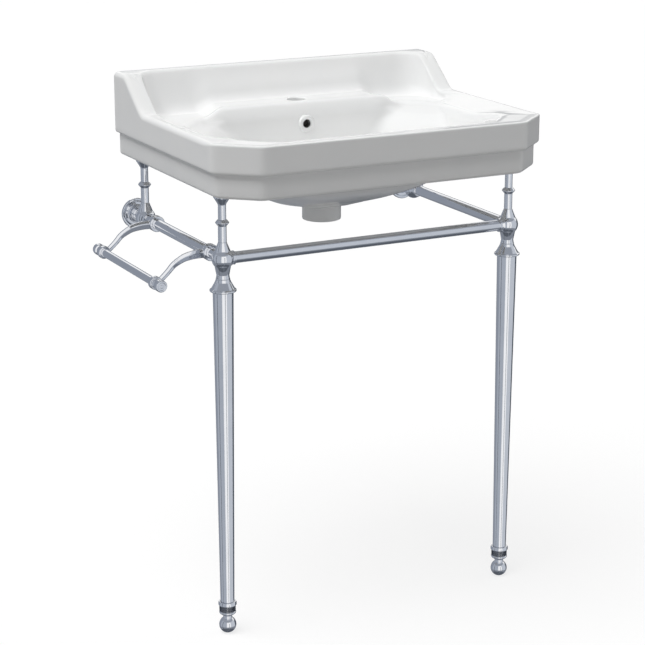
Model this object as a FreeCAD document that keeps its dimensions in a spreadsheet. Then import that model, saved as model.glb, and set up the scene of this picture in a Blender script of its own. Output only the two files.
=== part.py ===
# Console sink: a glazed basin on a chromed stand with two turned legs, wall fittings and a towel holder.
# Millimetres. +Z is up and +Y points into the wall. The origin lies on the wall, midway between the two
# holes for the wall bolts, so every height is taken from the floor and then measured from those bolts.
import FreeCAD, Part
import math
import os

import Sketcher

SIZES = {
    # the stand
    "leg_inset": 35,
    "leg_setback": 96,
    "rear_standoff": 45,
    "rail_drop": 108,
    "rail_diameter": 19,
    "rail_wall": 1.5,
    "rail_end_clearance": 1,
    # the corner fittings
    "ball_diameter": 36,
    "ring_diameter": 44,
    "ring_drop": 54,
    "ring_edge": 4,
    "neck_diameter": 21,
    "neck_drop": 27,
    "cone_rise": 28,
    "leg_spigot_length": 12,
    "rail_socket_diameter": 22,
    "rail_socket_reach": 20,
    "wall_spigot_diameter": 22,
    "wall_thread_diameter": 8,
    "wall_thread_depth": 24,
    # the wall flanges
    "flange_diameter": 54,
    "flange_rim_height": 5,
    "flange_hub_height": 11,
    "flange_hub_diameter": 28,
    # the legs and their plugs
    "leg_top_diameter": 34,
    "leg_tip_diameter": 23.4,
    "leg_tip_height": 44,
    "leg_wall": 1.5,
    "leg_plug_length": 16,
    "leg_plug_gap": 4,
    "leg_stud_diameter": 10,
    "leg_stud_engagement": 16,
    # the levelling feet
    "foot_ball_diameter": 29.2,
    "foot_flat": 0.4,
    "foot_neck_diameter": 15,
    "collar_underside_height": 31,
    "collar_height": 26,
    "collar_diameter": 27.4,
    "collar_lip_diameter": 31,
    "collar_leg_clearance": 0.6,
    "collar_floor": 11,
    "foot_stud_diameter": 7.9,
    "foot_stud_clearance": 0.05,
    "foot_stud_length": 62,
    "foot_insert_length": 20,
    # the basin supports
    "stem_diameter": 14,
    "bead_diameter": 23.4,
    "bead_height": 60,
    "bead_thickness": 10,
    "cap_flare_height": 92,
    "cap_diameter": 28,
    "cap_edge": 4,
    "rod_diameter": 8,
    "rod_seat": 12,
    "rod_end_gap": 6,
    "pad_thickness": 3,
    "pad_diameter": 24,
    # the grub screws
    "grub_diameter": 4,
    "grub_offset": 13,
    # the towel holder
    "towel_bar_reach": 98,
    "towel_bar_drop": 40,
    "towel_bar_diameter": 14,
    "towel_bar_wall": 2,
    "towel_arm_spread": 230,
    "arm_collar_diameter": 28,
    "arm_collar_width": 12,
    "arm_eye_diameter": 22,
    "arm_eye_width": 9,
    "arm_height": 10,
    "arm_thickness": 7,
    "arm_sag": 6,
    "running_clearance": 0.05,
    "knob_gap": 0.4,
    "knob_collar_diameter": 17,
    "knob_neck_diameter": 13,
    "knob_diameter": 20,
    "knob_length": 24,
    "knob_head_length": 11,
    "knob_pin_length": 14,
    # the basin
    "bolt_rise": 28,
    "bolt_spacing": 280,
    "bolt_hole_diameter": 14,
    "basin_width": 610,
    "basin_depth": 470,
    "underside_height": 762,
    "skirt_height": 40,
    "band_height": 49,
    "splash_height": 57,
    "band_overhang": 8,
    "corner_cut_across": 63,
    "corner_cut_deep": 56,
    "corner_radius": 20,
    "lip_radius": 5,
    "skirt_edge_radius": 5,
    "band_edge_radius": 5,
    "splash_foot": 47,
    "splash_crest": 21,
    "wing_foot_depth": 121,
    "wing_crest_depth": 49,
    "wing_foot_thickness": 31,
    "wing_crest_thickness": 30,
    "wing_foot_radius": 35,
    "wing_crest_radius": 14,
    "splash_corner_radius": 42,
    "rim_lip": 14,
    "deck_recess": 7,
    "deck_thickness": 14,
    "platform_width": 320,
    "skirt_wall": 14,
    "land_diameter": 46,
    "shell_wall": 12,
    "bowl_side_margin": 51,
    "bowl_front_margin": 29,
    "bowl_back": 129,
    "bowl_depth": 154,
    "drain_setback": 195,
    "waste_diameter": 45,
    "waste_seat_diameter": 64,
    "waste_seat_depth": 3,
    "spigot_diameter": 68,
    "spigot_drop": 106,
    "tap_hole_diameter": 32,
    "tap_setback": 96,
    "overflow_diameter": 15,
    "overflow_ring_diameter": 31,
    "overflow_ring_reach": 13,
    "overflow_drop": 37,
    "overflow_passage": 15,
    "overflow_duct": 42,
}

TOLERANCE = 0.01

document = FreeCAD.newDocument("console_sink")
sheet = document.addObject("Spreadsheet::Sheet", "Sizes")
sub_parts = []


class Length:
    """A size in millimetres, with the sheet formula that it comes from."""

    def __init__(self, value, formula):
        self.value = float(value)
        self.formula = formula

    def __add__(self, other):
        other = as_length(other)
        return Length(self.value + other.value, f"({self.formula} + {other.formula})")

    def __radd__(self, other):
        return as_length(other) + self

    def __sub__(self, other):
        other = as_length(other)
        return Length(self.value - other.value, f"({self.formula} - {other.formula})")

    def __rsub__(self, other):
        return as_length(other) - self

    def __mul__(self, other):
        other = as_length(other)
        return Length(self.value * other.value, f"({self.formula} * {other.formula})")

    def __rmul__(self, other):
        return as_length(other) * self

    def __truediv__(self, other):
        other = as_length(other)
        return Length(self.value / other.value, f"({self.formula} / {other.formula})")

    def __neg__(self):
        return as_length(0) - self

    def root(self):
        return Length(math.sqrt(self.value), f"sqrt({self.formula})")


def as_length(size):
    if isinstance(size, Length):
        return size
    return Length(size, f"({size})")


def fill_sheet():
    """Put every driving size in the sheet and return them by name."""
    lengths = {}
    for row, (name, value) in enumerate(SIZES.items(), start=1):
        sheet.set(f"A{row}", name)
        sheet.set(f"B{row}", str(value))
        sheet.setAlias(f"B{row}", name)
        lengths[name] = Length(value, f"Sizes.{name}")
    document.recompute()
    return lengths


size = fill_sheet()
bolt_height = size["underside_height"] + size["bolt_rise"]
rail_height = size["underside_height"] - size["rail_drop"]


def bind(thing, setting, length):
    thing.setExpression(setting, as_length(length).formula)


def level(height):
    """Turn a height above the floor into a height above the wall bolts."""
    return height - bolt_height


def vector(across, up):
    return FreeCAD.Vector(across.value, up.value, 0)


def constrain(sketch, kind, references, length):
    index = sketch.addConstraint(Sketcher.Constraint(kind, *references, length.value))
    bind(sketch, f"Constraints[{index}]", length)


def pin_point(sketch, geometry, point, across, up):
    """Tie a sketch point to its two distances from the sketch's origin."""
    for kind, axis, length in (("DistanceX", -2, across), ("DistanceY", -1, up)):
        if abs(length.value) < 1e-9:
            sketch.addConstraint(Sketcher.Constraint("PointOnObject", geometry, point, axis))
        elif length.value > 0:
            constrain(sketch, kind, (-1, 1, geometry, point), length)
        else:
            constrain(sketch, kind, (geometry, point, -1, 1), -length)


def rounding(before, corner, after, radius):
    """Return the arc that rounds a corner, and which of its ends is met first."""
    incoming = (before - corner).normalize()
    outgoing = (after - corner).normalize()
    half_angle = incoming.getAngle(outgoing) / 2
    centre = corner + (incoming + outgoing).normalize() * (radius / math.sin(half_angle))
    entry = corner + incoming * (radius / math.tan(half_angle))
    leave = corner + outgoing * (radius / math.tan(half_angle))
    turns_left = (corner - before).cross(after - corner).z > 0
    first, last = (entry, leave) if turns_left else (leave, entry)
    start = math.atan2(first.y - centre.y, first.x - centre.x)
    end = math.atan2(last.y - centre.y, last.x - centre.x)
    if end < start:
        end += 2 * math.pi
    arc = Part.ArcOfCircle(Part.Circle(centre, FreeCAD.Vector(0, 0, 1), radius), start, end)
    return arc, entry, leave, (1 if turns_left else 2)


def draw_outline(sketch, corners):
    """Draw a closed outline. A corner is (across, up), or (across, up, radius) where it is rounded."""
    sides = []
    for corner in corners:
        across, up = as_length(corner[0]), as_length(corner[1])
        radius = as_length(corner[2]) if len(corner) > 2 else None
        sides.append((across, up, radius))
    count = len(sides)
    places = [vector(across, up) for across, up, _ in sides]
    arcs = {}
    for index, (_, _, radius) in enumerate(sides):
        if radius is not None:
            arcs[index] = rounding(places[index - 1], places[index], places[(index + 1) % count], radius.value)
    lines = []
    for index in range(count):
        following = (index + 1) % count
        start = arcs[index][2] if index in arcs else places[index]
        end = arcs[following][1] if following in arcs else places[following]
        lines.append(sketch.addGeometry(Part.LineSegment(start, end), False))
    for index, (across, up, radius) in enumerate(sides):
        before, after = lines[index - 1], lines[index]
        if radius is None:
            sketch.addConstraint(Sketcher.Constraint("Coincident", before, 2, after, 1))
            pin_point(sketch, after, 1, across, up)
            continue
        arc, _, _, entry_end = arcs[index]
        curve = sketch.addGeometry(arc, False)
        sketch.addConstraint(Sketcher.Constraint("Tangent", before, 2, curve, entry_end))
        sketch.addConstraint(Sketcher.Constraint("Tangent", after, 1, curve, 3 - entry_end))
        constrain(sketch, "Radius", (curve,), radius)
        corner_point = sketch.addGeometry(Part.Point(places[index]), True)
        sketch.addConstraint(Sketcher.Constraint("PointOnObject", corner_point, 1, before))
        sketch.addConstraint(Sketcher.Constraint("PointOnObject", corner_point, 1, after))
        pin_point(sketch, corner_point, 1, across, up)


def new_body(label):
    body = document.addObject("PartDesign::Body", label)
    body.Label = label
    sub_parts.append(body)
    return body


def new_sketch(body, name, plane, offset=0):
    """Make a sketch on one of the body's origin planes, moved along the plane's normal."""
    sketch = body.newObject("Sketcher::SketchObject", name)
    origin_plane = [item for item in body.Origin.OriginFeatures if item.Role == plane][0]
    sketch.AttachmentSupport = [(origin_plane, "")]
    sketch.MapMode = "FlatFace"
    offset = as_length(offset)
    sketch.AttachmentOffset = FreeCAD.Placement(FreeCAD.Vector(0, 0, offset.value), FreeCAD.Rotation())
    bind(sketch, "AttachmentOffset.Base.z", offset)
    return sketch


def outline_sketch(body, name, plane, corners, offset=0):
    sketch = new_sketch(body, name, plane, offset)
    draw_outline(sketch, corners)
    return sketch


def circle_sketch(body, name, plane, across, up, radius, offset=0):
    sketch = new_sketch(body, name, plane, offset)
    across, up, radius = as_length(across), as_length(up), as_length(radius)
    circle = Part.Circle(vector(across, up), FreeCAD.Vector(0, 0, 1), radius.value)
    curve = sketch.addGeometry(circle, False)
    constrain(sketch, "Radius", (curve,), radius)
    pin_point(sketch, curve, 3, across, up)
    return sketch


def pad(body, name, sketch, length, both_ways=False):
    feature = body.newObject("PartDesign::Pad", name)
    feature.Profile = sketch
    feature.Midplane = both_ways
    bind(feature, "Length", length)
    return feature


def pocket(body, name, sketch, length, along_normal=False):
    feature = body.newObject("PartDesign::Pocket", name)
    feature.Profile = sketch
    feature.Reversed = along_normal
    bind(feature, "Length", length)
    return feature


def turned_body(label, profile):
    """A piece turned on a lathe: a profile of (radius, height) spun about the body's Z axis."""
    body = new_body(label)
    sketch = outline_sketch(body, f"{label}_profile", "XZ_Plane", profile)
    spin = body.newObject("PartDesign::Revolution", f"{label}_turning")
    spin.Profile = sketch
    spin.ReferenceAxis = (sketch, ["V_Axis"])
    spin.Angle = 360
    return body


def primitive(body, kind, name, centre, direction, **settings):
    """Add a primitive to a body: its base at centre, its axis along direction."""
    feature = body.newObject(f"PartDesign::{kind}", name)
    turn = FreeCAD.Rotation(FreeCAD.Vector(0, 0, 1), FreeCAD.Vector(*direction))
    centre = [as_length(item) for item in centre]
    feature.Placement = FreeCAD.Placement(FreeCAD.Vector(*[item.value for item in centre]), turn)
    for axis, item in zip("xyz", centre):
        bind(feature, f"Placement.Base.{axis}", item)
    for setting, length in settings.items():
        bind(feature, setting, length)
    return feature


def place(body, x, y, z, direction=(0, 0, 1)):
    """Put a body's origin at x, y, z, with its Z axis along direction."""
    spot = [as_length(item) for item in (x, y, z)]
    turn = FreeCAD.Rotation(FreeCAD.Vector(0, 0, 1), FreeCAD.Vector(*direction))
    body.Placement = FreeCAD.Placement(FreeCAD.Vector(*[item.value for item in spot]), turn)
    for axis, item in zip("xyz", spot):
        bind(body, f"Placement.Base.{axis}", item)


# Places that several pieces share.
half_spacing = size["basin_width"] / 2 - size["leg_inset"]
rear_axis = -size["rear_standoff"]
front_axis = size["leg_setback"] - size["basin_depth"]
frame_depth = rear_axis - front_axis
rail_level = level(rail_height)
leg_top_height = rail_height - size["ring_drop"]
leg_tip_height = size["leg_tip_height"]
leg_length = leg_top_height - leg_tip_height
underside_above_rail = size["rail_drop"]
SIDES = {"left": -1, "right": 1}
ROWS = {"front": front_axis, "rear": rear_axis}


def leg_bore_radius(height):
    """The inner radius of the tapered leg tube at a height above the floor."""
    share = (height - leg_tip_height) / leg_length
    taper = (size["leg_top_diameter"] - size["leg_tip_diameter"]) / 2
    return size["leg_tip_diameter"] / 2 - size["leg_wall"] + taper * share


# The legs: tapered tubes, each with a plug at the top and an insert at the tip.
def make_leg(side):
    x = SIDES[side] * half_spacing
    wall = size["leg_wall"]
    tip = size["leg_tip_diameter"] / 2
    top = size["leg_top_diameter"] / 2
    tube = turned_body(f"{side}_leg_tube", [
        (tip - wall, 0),
        (tip, 0),
        (top, leg_length),
        (top - wall, leg_length),
    ])
    place(tube, x, front_axis, level(leg_tip_height))

    plug_top = leg_top_height - size["leg_spigot_length"] - size["leg_plug_gap"]
    plug_base = plug_top - size["leg_plug_length"]
    make_leg_plug(f"{side}_leg_top_plug", x, plug_base, plug_top, size["leg_stud_diameter"] / 2)
    insert_bore = size["foot_stud_diameter"] / 2 + size["foot_stud_clearance"]
    insert_top = leg_tip_height + size["foot_insert_length"]
    make_leg_plug(f"{side}_leg_tip_insert", x, leg_tip_height, insert_top, insert_bore)


def make_leg_plug(label, x, base, top, bore):
    plug = turned_body(label, [
        (bore, 0),
        (leg_bore_radius(base), 0),
        (leg_bore_radius(top), top - base),
        (bore, top - base),
    ])
    place(plug, x, front_axis, level(base))


def make_leg_studs():
    """One threaded stud in each leg: it draws the corner fitting down on the tube."""
    radius = size["leg_stud_diameter"] / 2
    spigot_end = -size["ring_drop"] - size["leg_spigot_length"]
    base = spigot_end - size["leg_plug_gap"] - size["leg_plug_length"]
    top = spigot_end + size["leg_stud_engagement"]
    rods = []
    for side in SIDES.values():
        rods.append((radius, top - base, side * half_spacing, front_axis, rail_level + base))
    upright_rods("leg_joining_studs", rods)


def upright_rods(label, rods):
    """Several plain upright rods in one node: radius, length, and the middle of each lower end."""
    group = document.addObject("Part::Compound", label)
    group.Label = label
    cylinders = []
    for index, (radius, length, x, y, z) in enumerate(rods):
        rod = document.addObject("Part::Cylinder", f"{label}_{index}")
        bind(rod, "Radius", radius)
        bind(rod, "Height", length)
        for axis, item in zip("xyz", (x, y, z)):
            bind(rod, f"Placement.Base.{axis}", item)
        cylinders.append(rod)
    group.Links = cylinders
    sub_parts.append(group)


# The corner fittings, with the middle of the ball as the body's origin.
def make_front_fitting(side):
    ring = size["ring_diameter"] / 2
    neck = size["neck_diameter"] / 2
    ball = size["ball_diameter"] / 2
    stem = size["stem_diameter"] / 2
    drop = size["ring_drop"]
    spigot = leg_bore_radius(leg_top_height - size["leg_spigot_length"])
    ring_top = size["ring_edge"] - drop
    shoulder = ball * 0.74
    waist = ball * 0.67
    body = turned_body(f"front_{side}_fitting", [
        (0, -drop - size["leg_spigot_length"]),
        (spigot, -drop - size["leg_spigot_length"]),
        (spigot, -drop),
        (ring, -drop, 1.5),
        (ring, ring_top, 1.2),
        (neck * 1.2, ring_top + 13, 3),
        (neck, -size["neck_drop"], 9),
        (shoulder, -waist),
        (shoulder, waist),
        (stem, size["cone_rise"]),
        (0, size["cone_rise"]),
    ])
    place(body, SIDES[side] * half_spacing, front_axis, rail_level)
    primitive(body, "AdditiveSphere", f"{side}_front_ball", (0, 0, 0), (0, 0, 1), Radius=ball)
    inward = -SIDES[side]
    rail_sockets(body, [(inward, 0, 0), (0, 1, 0)])
    stud = size["leg_stud_engagement"]
    primitive(body, "SubtractiveCylinder", f"{side}_leg_stud_bore", (0, 0, -drop - size["leg_spigot_length"]),
              (0, 0, 1), Radius=size["leg_stud_diameter"] / 2, Height=stud)
    rod_bore(body)


def make_rear_fitting(side):
    ball = size["ball_diameter"] / 2
    stem = size["stem_diameter"] / 2
    shoulder = ball * 0.74
    waist = ball * 0.67
    body = turned_body(f"rear_{side}_fitting", [
        (0, 0),
        (shoulder, 0),
        (shoulder, waist),
        (stem, size["cone_rise"]),
        (0, size["cone_rise"]),
    ])
    place(body, SIDES[side] * half_spacing, rear_axis, rail_level)
    primitive(body, "AdditiveSphere", f"{side}_rear_ball", (0, 0, 0), (0, 0, 1), Radius=ball)
    primitive(body, "AdditiveCylinder", f"{side}_wall_spigot", (0, 0, 0), (0, 1, 0),
              Radius=size["wall_spigot_diameter"] / 2, Height=size["rear_standoff"])
    rail_sockets(body, [(0, -1, 0)])
    primitive(body, "SubtractiveCylinder", f"{side}_wall_thread", (0, size["rear_standoff"], 0), (0, -1, 0),
              Radius=size["wall_thread_diameter"] / 2, Height=size["wall_thread_depth"])
    rod_bore(body)


def rail_sockets(body, directions):
    """A low socket for each rail, its bore, and a hole below it for the grub screw."""
    rail = size["rail_diameter"] / 2
    inner = rail + size["rail_end_clearance"]
    reach = size["rail_socket_reach"]
    for index, (x, y, z) in enumerate(directions):
        name = f"{body.Label}_socket_{index}"
        primitive(body, "AdditiveCylinder", name, (0, 0, 0), (x, y, z),
                  Radius=size["rail_socket_diameter"] / 2, Height=reach)
    for index, (x, y, z) in enumerate(directions):
        name = f"{body.Label}_rail_bore_{index}"
        start = (x * inner, y * inner, 0)
        primitive(body, "SubtractiveCylinder", name, start, (x, y, z), Radius=rail, Height=reach)
        grub = (x * size["grub_offset"], y * size["grub_offset"], -size["ball_diameter"] / 2)
        name = f"{body.Label}_grub_hole_{index}"
        primitive(body, "SubtractiveCylinder", name, grub, (0, 0, 1),
                  Radius=size["grub_diameter"] / 2, Height=size["ball_diameter"] / 2)


def rod_bore(body):
    primitive(body, "SubtractiveCylinder", f"{body.Label}_rod_bore", (0, 0, size["rod_seat"]), (0, 0, 1),
              Radius=size["rod_diameter"] / 2, Height=size["cone_rise"])


def make_rail_grubs():
    """Six grub screws below the rails, one at each rail end."""
    radius = size["grub_diameter"] / 2
    rail = size["rail_diameter"] / 2
    offset = size["grub_offset"]
    ball = size["ball_diameter"] / 2
    skin = (ball * ball - offset * offset).root()
    length = skin - rail
    spots = []
    for side in SIDES.values():
        spots.append((side * (half_spacing - offset), front_axis))
        spots.append((side * half_spacing, front_axis + offset))
        spots.append((side * half_spacing, rear_axis - offset))
    base = rail_level - rail - length
    upright_rods("rail_grub_screws", [(radius, length, x, y, base) for x, y in spots])


# The rails.
def make_rail(label, x, y, direction, span):
    """A tube between two fittings whose middles are span apart."""
    rail = size["rail_diameter"] / 2
    inset = rail + size["rail_end_clearance"]
    tube = turned_body(label, [
        (rail - size["rail_wall"], inset),
        (rail, inset),
        (rail, span - inset),
        (rail - size["rail_wall"], span - inset),
    ])
    place(tube, x, y, rail_level, direction)


def make_wall_flange(side):
    """A dished rose on the wall round the rear fitting's spigot; its Z axis points away from the wall."""
    bore = size["wall_spigot_diameter"] / 2
    rim = size["flange_diameter"] / 2
    hub = size["flange_hub_diameter"] / 2
    rim_height = size["flange_rim_height"]
    hub_height = size["flange_hub_height"]
    body = turned_body(f"{side}_wall_flange", [
        (bore, 0),
        (rim, 0),
        (rim, rim_height, 1.5),
        (rim - 4, rim_height, 1.5),
        (rim - 7, rim_height * 0.5, 2),
        (hub + 1, rim_height * 0.5, 2),
        (hub - 1, hub_height, 1),
        (bore, hub_height),
    ])
    place(body, SIDES[side] * half_spacing, 0, rail_level, (0, -1, 0))


# The basin supports: a stem with a bead, and a flared cap with a rubber pad.
def make_support(row, side):
    x = SIDES[side] * half_spacing
    y = ROWS[row]
    stem = size["stem_diameter"] / 2
    rod = size["rod_diameter"] / 2
    bead = size["bead_diameter"] / 2
    bead_half = size["bead_thickness"] / 2
    cone_top = size["cone_rise"]
    bead_top = size["bead_height"] + bead_half
    post = turned_body(f"{row}_{side}_support_stem", [
        (rod, cone_top),
        (stem, cone_top),
        (stem, size["bead_height"] - bead_half),
        (bead, size["bead_height"], 1.2),
        (stem, bead_top),
        (rod, bead_top),
    ])
    place(post, x, y, rail_level)

    cap = size["cap_diameter"] / 2
    cap_top = underside_above_rail - size["pad_thickness"]
    rod_end = cap_top - size["rod_end_gap"]
    flare = turned_body(f"{row}_{side}_support_cap", [
        (rod, bead_top),
        (stem - 0.4, bead_top),
        (stem - 0.4, size["cap_flare_height"], 8),
        (cap, cap_top - size["cap_edge"], 1.5),
        (cap, cap_top, 1),
        (0, cap_top),
        (0, rod_end),
        (rod, rod_end),
    ])
    place(flare, x, y, rail_level)

    pad_radius = size["pad_diameter"] / 2
    rubber = turned_body(f"{row}_{side}_support_pad", [
        (0, cap_top),
        (pad_radius, cap_top),
        (pad_radius, underside_above_rail),
        (0, underside_above_rail),
    ])
    place(rubber, x, y, rail_level)


def make_support_rods():
    radius = size["rod_diameter"] / 2
    top = underside_above_rail - size["pad_thickness"] - size["rod_end_gap"]
    length = top - size["rod_seat"]
    rods = []
    for y in ROWS.values():
        for side in SIDES.values():
            rods.append((radius, length, side * half_spacing, y, rail_level + size["rod_seat"]))
    upright_rods("support_rods", rods)


# The levelling feet. Heights in these bodies are heights above the floor.
def make_foot(side):
    x = SIDES[side] * half_spacing
    stud = size["foot_stud_diameter"] / 2
    bore = stud + size["foot_stud_clearance"]
    base = size["collar_underside_height"]
    top = base + size["collar_height"]
    cup_floor = base + size["collar_floor"]
    grip = size["collar_diameter"] / 2
    lip = size["collar_lip_diameter"] / 2
    neck = size["foot_neck_diameter"] / 2
    mouth = size["leg_tip_diameter"] / 2 + size["collar_leg_clearance"]
    collar = turned_body(f"{side}_foot_collar", [
        (bore, base),
        (neck, base),
        (grip + 0.6, base + 5, 1),
        (grip + 0.6, base + 7.5, 0.8),
        (grip, base + 8.5),
        (grip, base + 18),
        (lip, base + 19.5, 1),
        (lip, top - 2.5, 1.5),
        (lip - 1.5, top, 1),
        (mouth, top),
        (mouth, cup_floor),
        (bore, cup_floor),
    ])
    place(collar, x, front_axis, level(as_length(0)))

    ball = size["foot_ball_diameter"] / 2
    flat = size["foot_flat"]
    centre = ball - flat
    stud_end = centre
    foot = new_body(f"{side}_foot_ball")
    primitive(foot, "AdditiveSphere", f"{side}_foot_sphere", (0, 0, centre), (0, 0, 1), Radius=ball)
    primitive(foot, "AdditiveCylinder", f"{side}_foot_neck", (0, 0, centre), (0, 0, 1),
              Radius=neck, Height=base - centre)
    primitive(foot, "SubtractiveCylinder", f"{side}_foot_flat", (0, 0, 0), (0, 0, -1),
              Radius=ball, Height=flat + 1)
    primitive(foot, "SubtractiveCylinder", f"{side}_foot_bore", (0, 0, stud_end), (0, 0, 1),
              Radius=bore, Height=ball + base)
    place(foot, x, front_axis, level(as_length(0)))

    screw = turned_body(f"{side}_foot_stud", [
        (0, stud_end),
        (stud, stud_end),
        (stud, stud_end + size["foot_stud_length"]),
        (0, stud_end + size["foot_stud_length"]),
    ])
    place(screw, x, front_axis, level(as_length(0)))


# The towel holder on the left side rail.
holder_middle = rear_axis - frame_depth / 2
bar_reach = size["towel_bar_reach"]
bar_drop = size["towel_bar_drop"]


def make_towel_arm(row, direction):
    """A collar round the side rail, an arched arm in the X-Z plane, and an eye for the bar."""
    rail_bore = size["rail_diameter"] / 2 + size["running_clearance"]
    bar_bore = size["towel_bar_diameter"] / 2 + size["running_clearance"]
    collar = size["arm_collar_diameter"] / 2
    eye = size["arm_eye_diameter"] / 2
    body = new_body(f"{row}_towel_arm")
    start = (-rail_bore - 2, as_length(0))
    shoulder = (-bar_reach * 0.52, -size["arm_sag"])
    finish = (-bar_reach + bar_bore * 1.2, -bar_drop + bar_bore * 1.2)
    spine = new_sketch(body, f"{row}_arm_spine", "XZ_Plane")
    curve = Part.Arc(vector(*start), vector(*shoulder), vector(*finish))
    line = spine.addGeometry(curve, False)
    ends = [spine.getPoint(line, 1), spine.getPoint(line, 2)]
    first = 1 if ends[0].distanceToPoint(vector(*start)) < TOLERANCE else 2
    pin_point(spine, line, first, *start)
    pin_point(spine, line, 3 - first, *finish)
    way = spine.addGeometry(Part.Point(vector(*shoulder)), True)
    spine.addConstraint(Sketcher.Constraint("PointOnObject", way, 1, line))
    pin_point(spine, way, 1, *shoulder)
    half_height = size["arm_height"] / 2
    half_width = size["arm_thickness"] / 2
    section = outline_sketch(body, f"{row}_arm_section", "YZ_Plane", [
        (-half_width, start[1] - half_height, 2),
        (half_width, start[1] - half_height, 2),
        (half_width, start[1] + half_height, 2),
        (-half_width, start[1] + half_height, 2),
    ], start[0])
    document.recompute()
    sweep = body.newObject("PartDesign::AdditivePipe", f"{row}_arm_sweep")
    sweep.Profile = section
    sweep.Spine = (spine, ["Edge1"])
    primitive(body, "AdditiveCylinder", f"{row}_arm_collar", (0, -size["arm_collar_width"] / 2, 0), (0, 1, 0),
              Radius=collar, Height=size["arm_collar_width"])
    primitive(body, "AdditiveCylinder", f"{row}_arm_eye", (-bar_reach, -size["arm_eye_width"] / 2, -bar_drop),
              (0, 1, 0), Radius=eye, Height=size["arm_eye_width"])
    primitive(body, "SubtractiveCylinder", f"{row}_arm_rail_bore", (0, -size["arm_collar_width"], 0), (0, 1, 0),
              Radius=rail_bore, Height=2 * size["arm_collar_width"])
    primitive(body, "SubtractiveCylinder", f"{row}_arm_bar_bore", (-bar_reach, -size["arm_eye_width"], -bar_drop),
              (0, 1, 0), Radius=bar_bore, Height=2 * size["arm_eye_width"])
    primitive(body, "SubtractiveCylinder", f"{row}_arm_grub_hole", (0, 0, 0), (0, 0, -1),
              Radius=size["grub_diameter"] / 2, Height=2 * collar)
    place(body, -half_spacing, holder_middle + direction * size["towel_arm_spread"] / 2, rail_level)


def make_arm_grubs():
    radius = size["grub_diameter"] / 2
    tip = size["rail_diameter"] / 2 + size["running_clearance"]
    length = size["arm_collar_diameter"] / 2 - 0.5 - tip
    rods = []
    for direction in (-1, 1):
        y = holder_middle + direction * size["towel_arm_spread"] / 2
        rods.append((radius, length, -half_spacing, y, rail_level - tip - length))
    upright_rods("arm_grub_screws", rods)


def make_towel_bar():
    """The bar and its two end knobs; Z along each body is the bar's axis."""
    bar = size["towel_bar_diameter"] / 2
    bore = bar - size["towel_bar_wall"]
    half_bar = size["towel_arm_spread"] / 2 + size["arm_eye_width"] / 2 + size["knob_gap"]
    x = -half_spacing - bar_reach
    z = rail_level - bar_drop
    tube = turned_body("towel_bar", [
        (bore, -half_bar),
        (bar, -half_bar),
        (bar, half_bar),
        (bore, half_bar),
    ])
    place(tube, x, holder_middle, z, (0, 1, 0))
    collar = size["knob_collar_diameter"] / 2
    neck = size["knob_neck_diameter"] / 2
    head = size["knob_diameter"] / 2
    length = size["knob_length"]
    head_start = length - size["knob_head_length"]
    for row, direction in (("front", -1), ("rear", 1)):
        knob = turned_body(f"{row}_towel_knob", [
            (0, -size["knob_pin_length"]),
            (bore, -size["knob_pin_length"]),
            (bore, 0),
            (collar, 0, 0.8),
            (collar, 4, 1.2),
            (neck, 5.5, 1),
            (neck, head_start - 2, 1),
            (head, head_start, 1.5),
            (head, length, 2),
            (head * 0.66, length, 0.6),
            (head * 0.6, length - 1.2, 0.4),
            (head * 0.3, length - 1.2, 0.4),
            (head * 0.24, length, 0.5),
            (0, length),
        ])
        place(knob, x, holder_middle + direction * half_bar, z, (0, direction, 0))


# The basin, with its underside as the body's Z = 0 and the wall as Y = 0.
half_width = size["basin_width"] / 2
depth = size["basin_depth"]
step = size["skirt_height"]
rim = step + size["band_height"]
crest = rim + size["splash_height"]
deck = rim - size["deck_recess"]
cut_across = size["corner_cut_across"]
cut_deep = size["corner_cut_deep"]
cut_run = (cut_across * cut_across + cut_deep * cut_deep).root()


def plan_front(inset, radius):
    """The corners of the plan's cut front, from left to right, moved in by inset."""
    side_shift = inset * (cut_run - cut_deep) / cut_across
    front_shift = inset * (cut_run - cut_across) / cut_deep
    side_x = half_width - inset
    side_y = -(depth - cut_deep) + side_shift
    front_x = half_width - cut_across - front_shift
    front_y = -depth + inset
    return [
        (-side_x, side_y, radius),
        (-front_x, front_y, radius),
        (front_x, front_y, radius),
        (side_x, side_y, radius),
    ]


def outside_plan(point, inset):
    """How far a point lies inside the plan outline that is moved in by inset."""
    across, deep, run = cut_across.value, cut_deep.value, cut_run.value
    x, y = abs(point.x), -point.y
    corner_gap = ((half_width.value - x) * deep + (depth.value - y) * across - across * deep) / run
    return min(half_width.value - x, depth.value - y, corner_gap) - inset


def edge_samples(edge):
    return [edge.valueAt(edge.FirstParameter + share * (edge.LastParameter - edge.FirstParameter))
            for share in (0.0, 0.5, 1.0)]


def round_edges(body, base, name, radius, chosen):
    """Round every edge of the base feature whose sample points all pass the test."""
    names = []
    for index, edge in enumerate(base.Shape.Edges, start=1):
        points = edge_samples(edge)
        upright = abs(points[0].x - points[2].x) < TOLERANCE and abs(points[0].y - points[2].y) < TOLERANCE
        if not upright and all(chosen(point) for point in points):
            names.append(f"Edge{index}")
    feature = body.newObject("PartDesign::Fillet", name)
    feature.Base = (base, names)
    bind(feature, "Radius", radius)
    return feature


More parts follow.
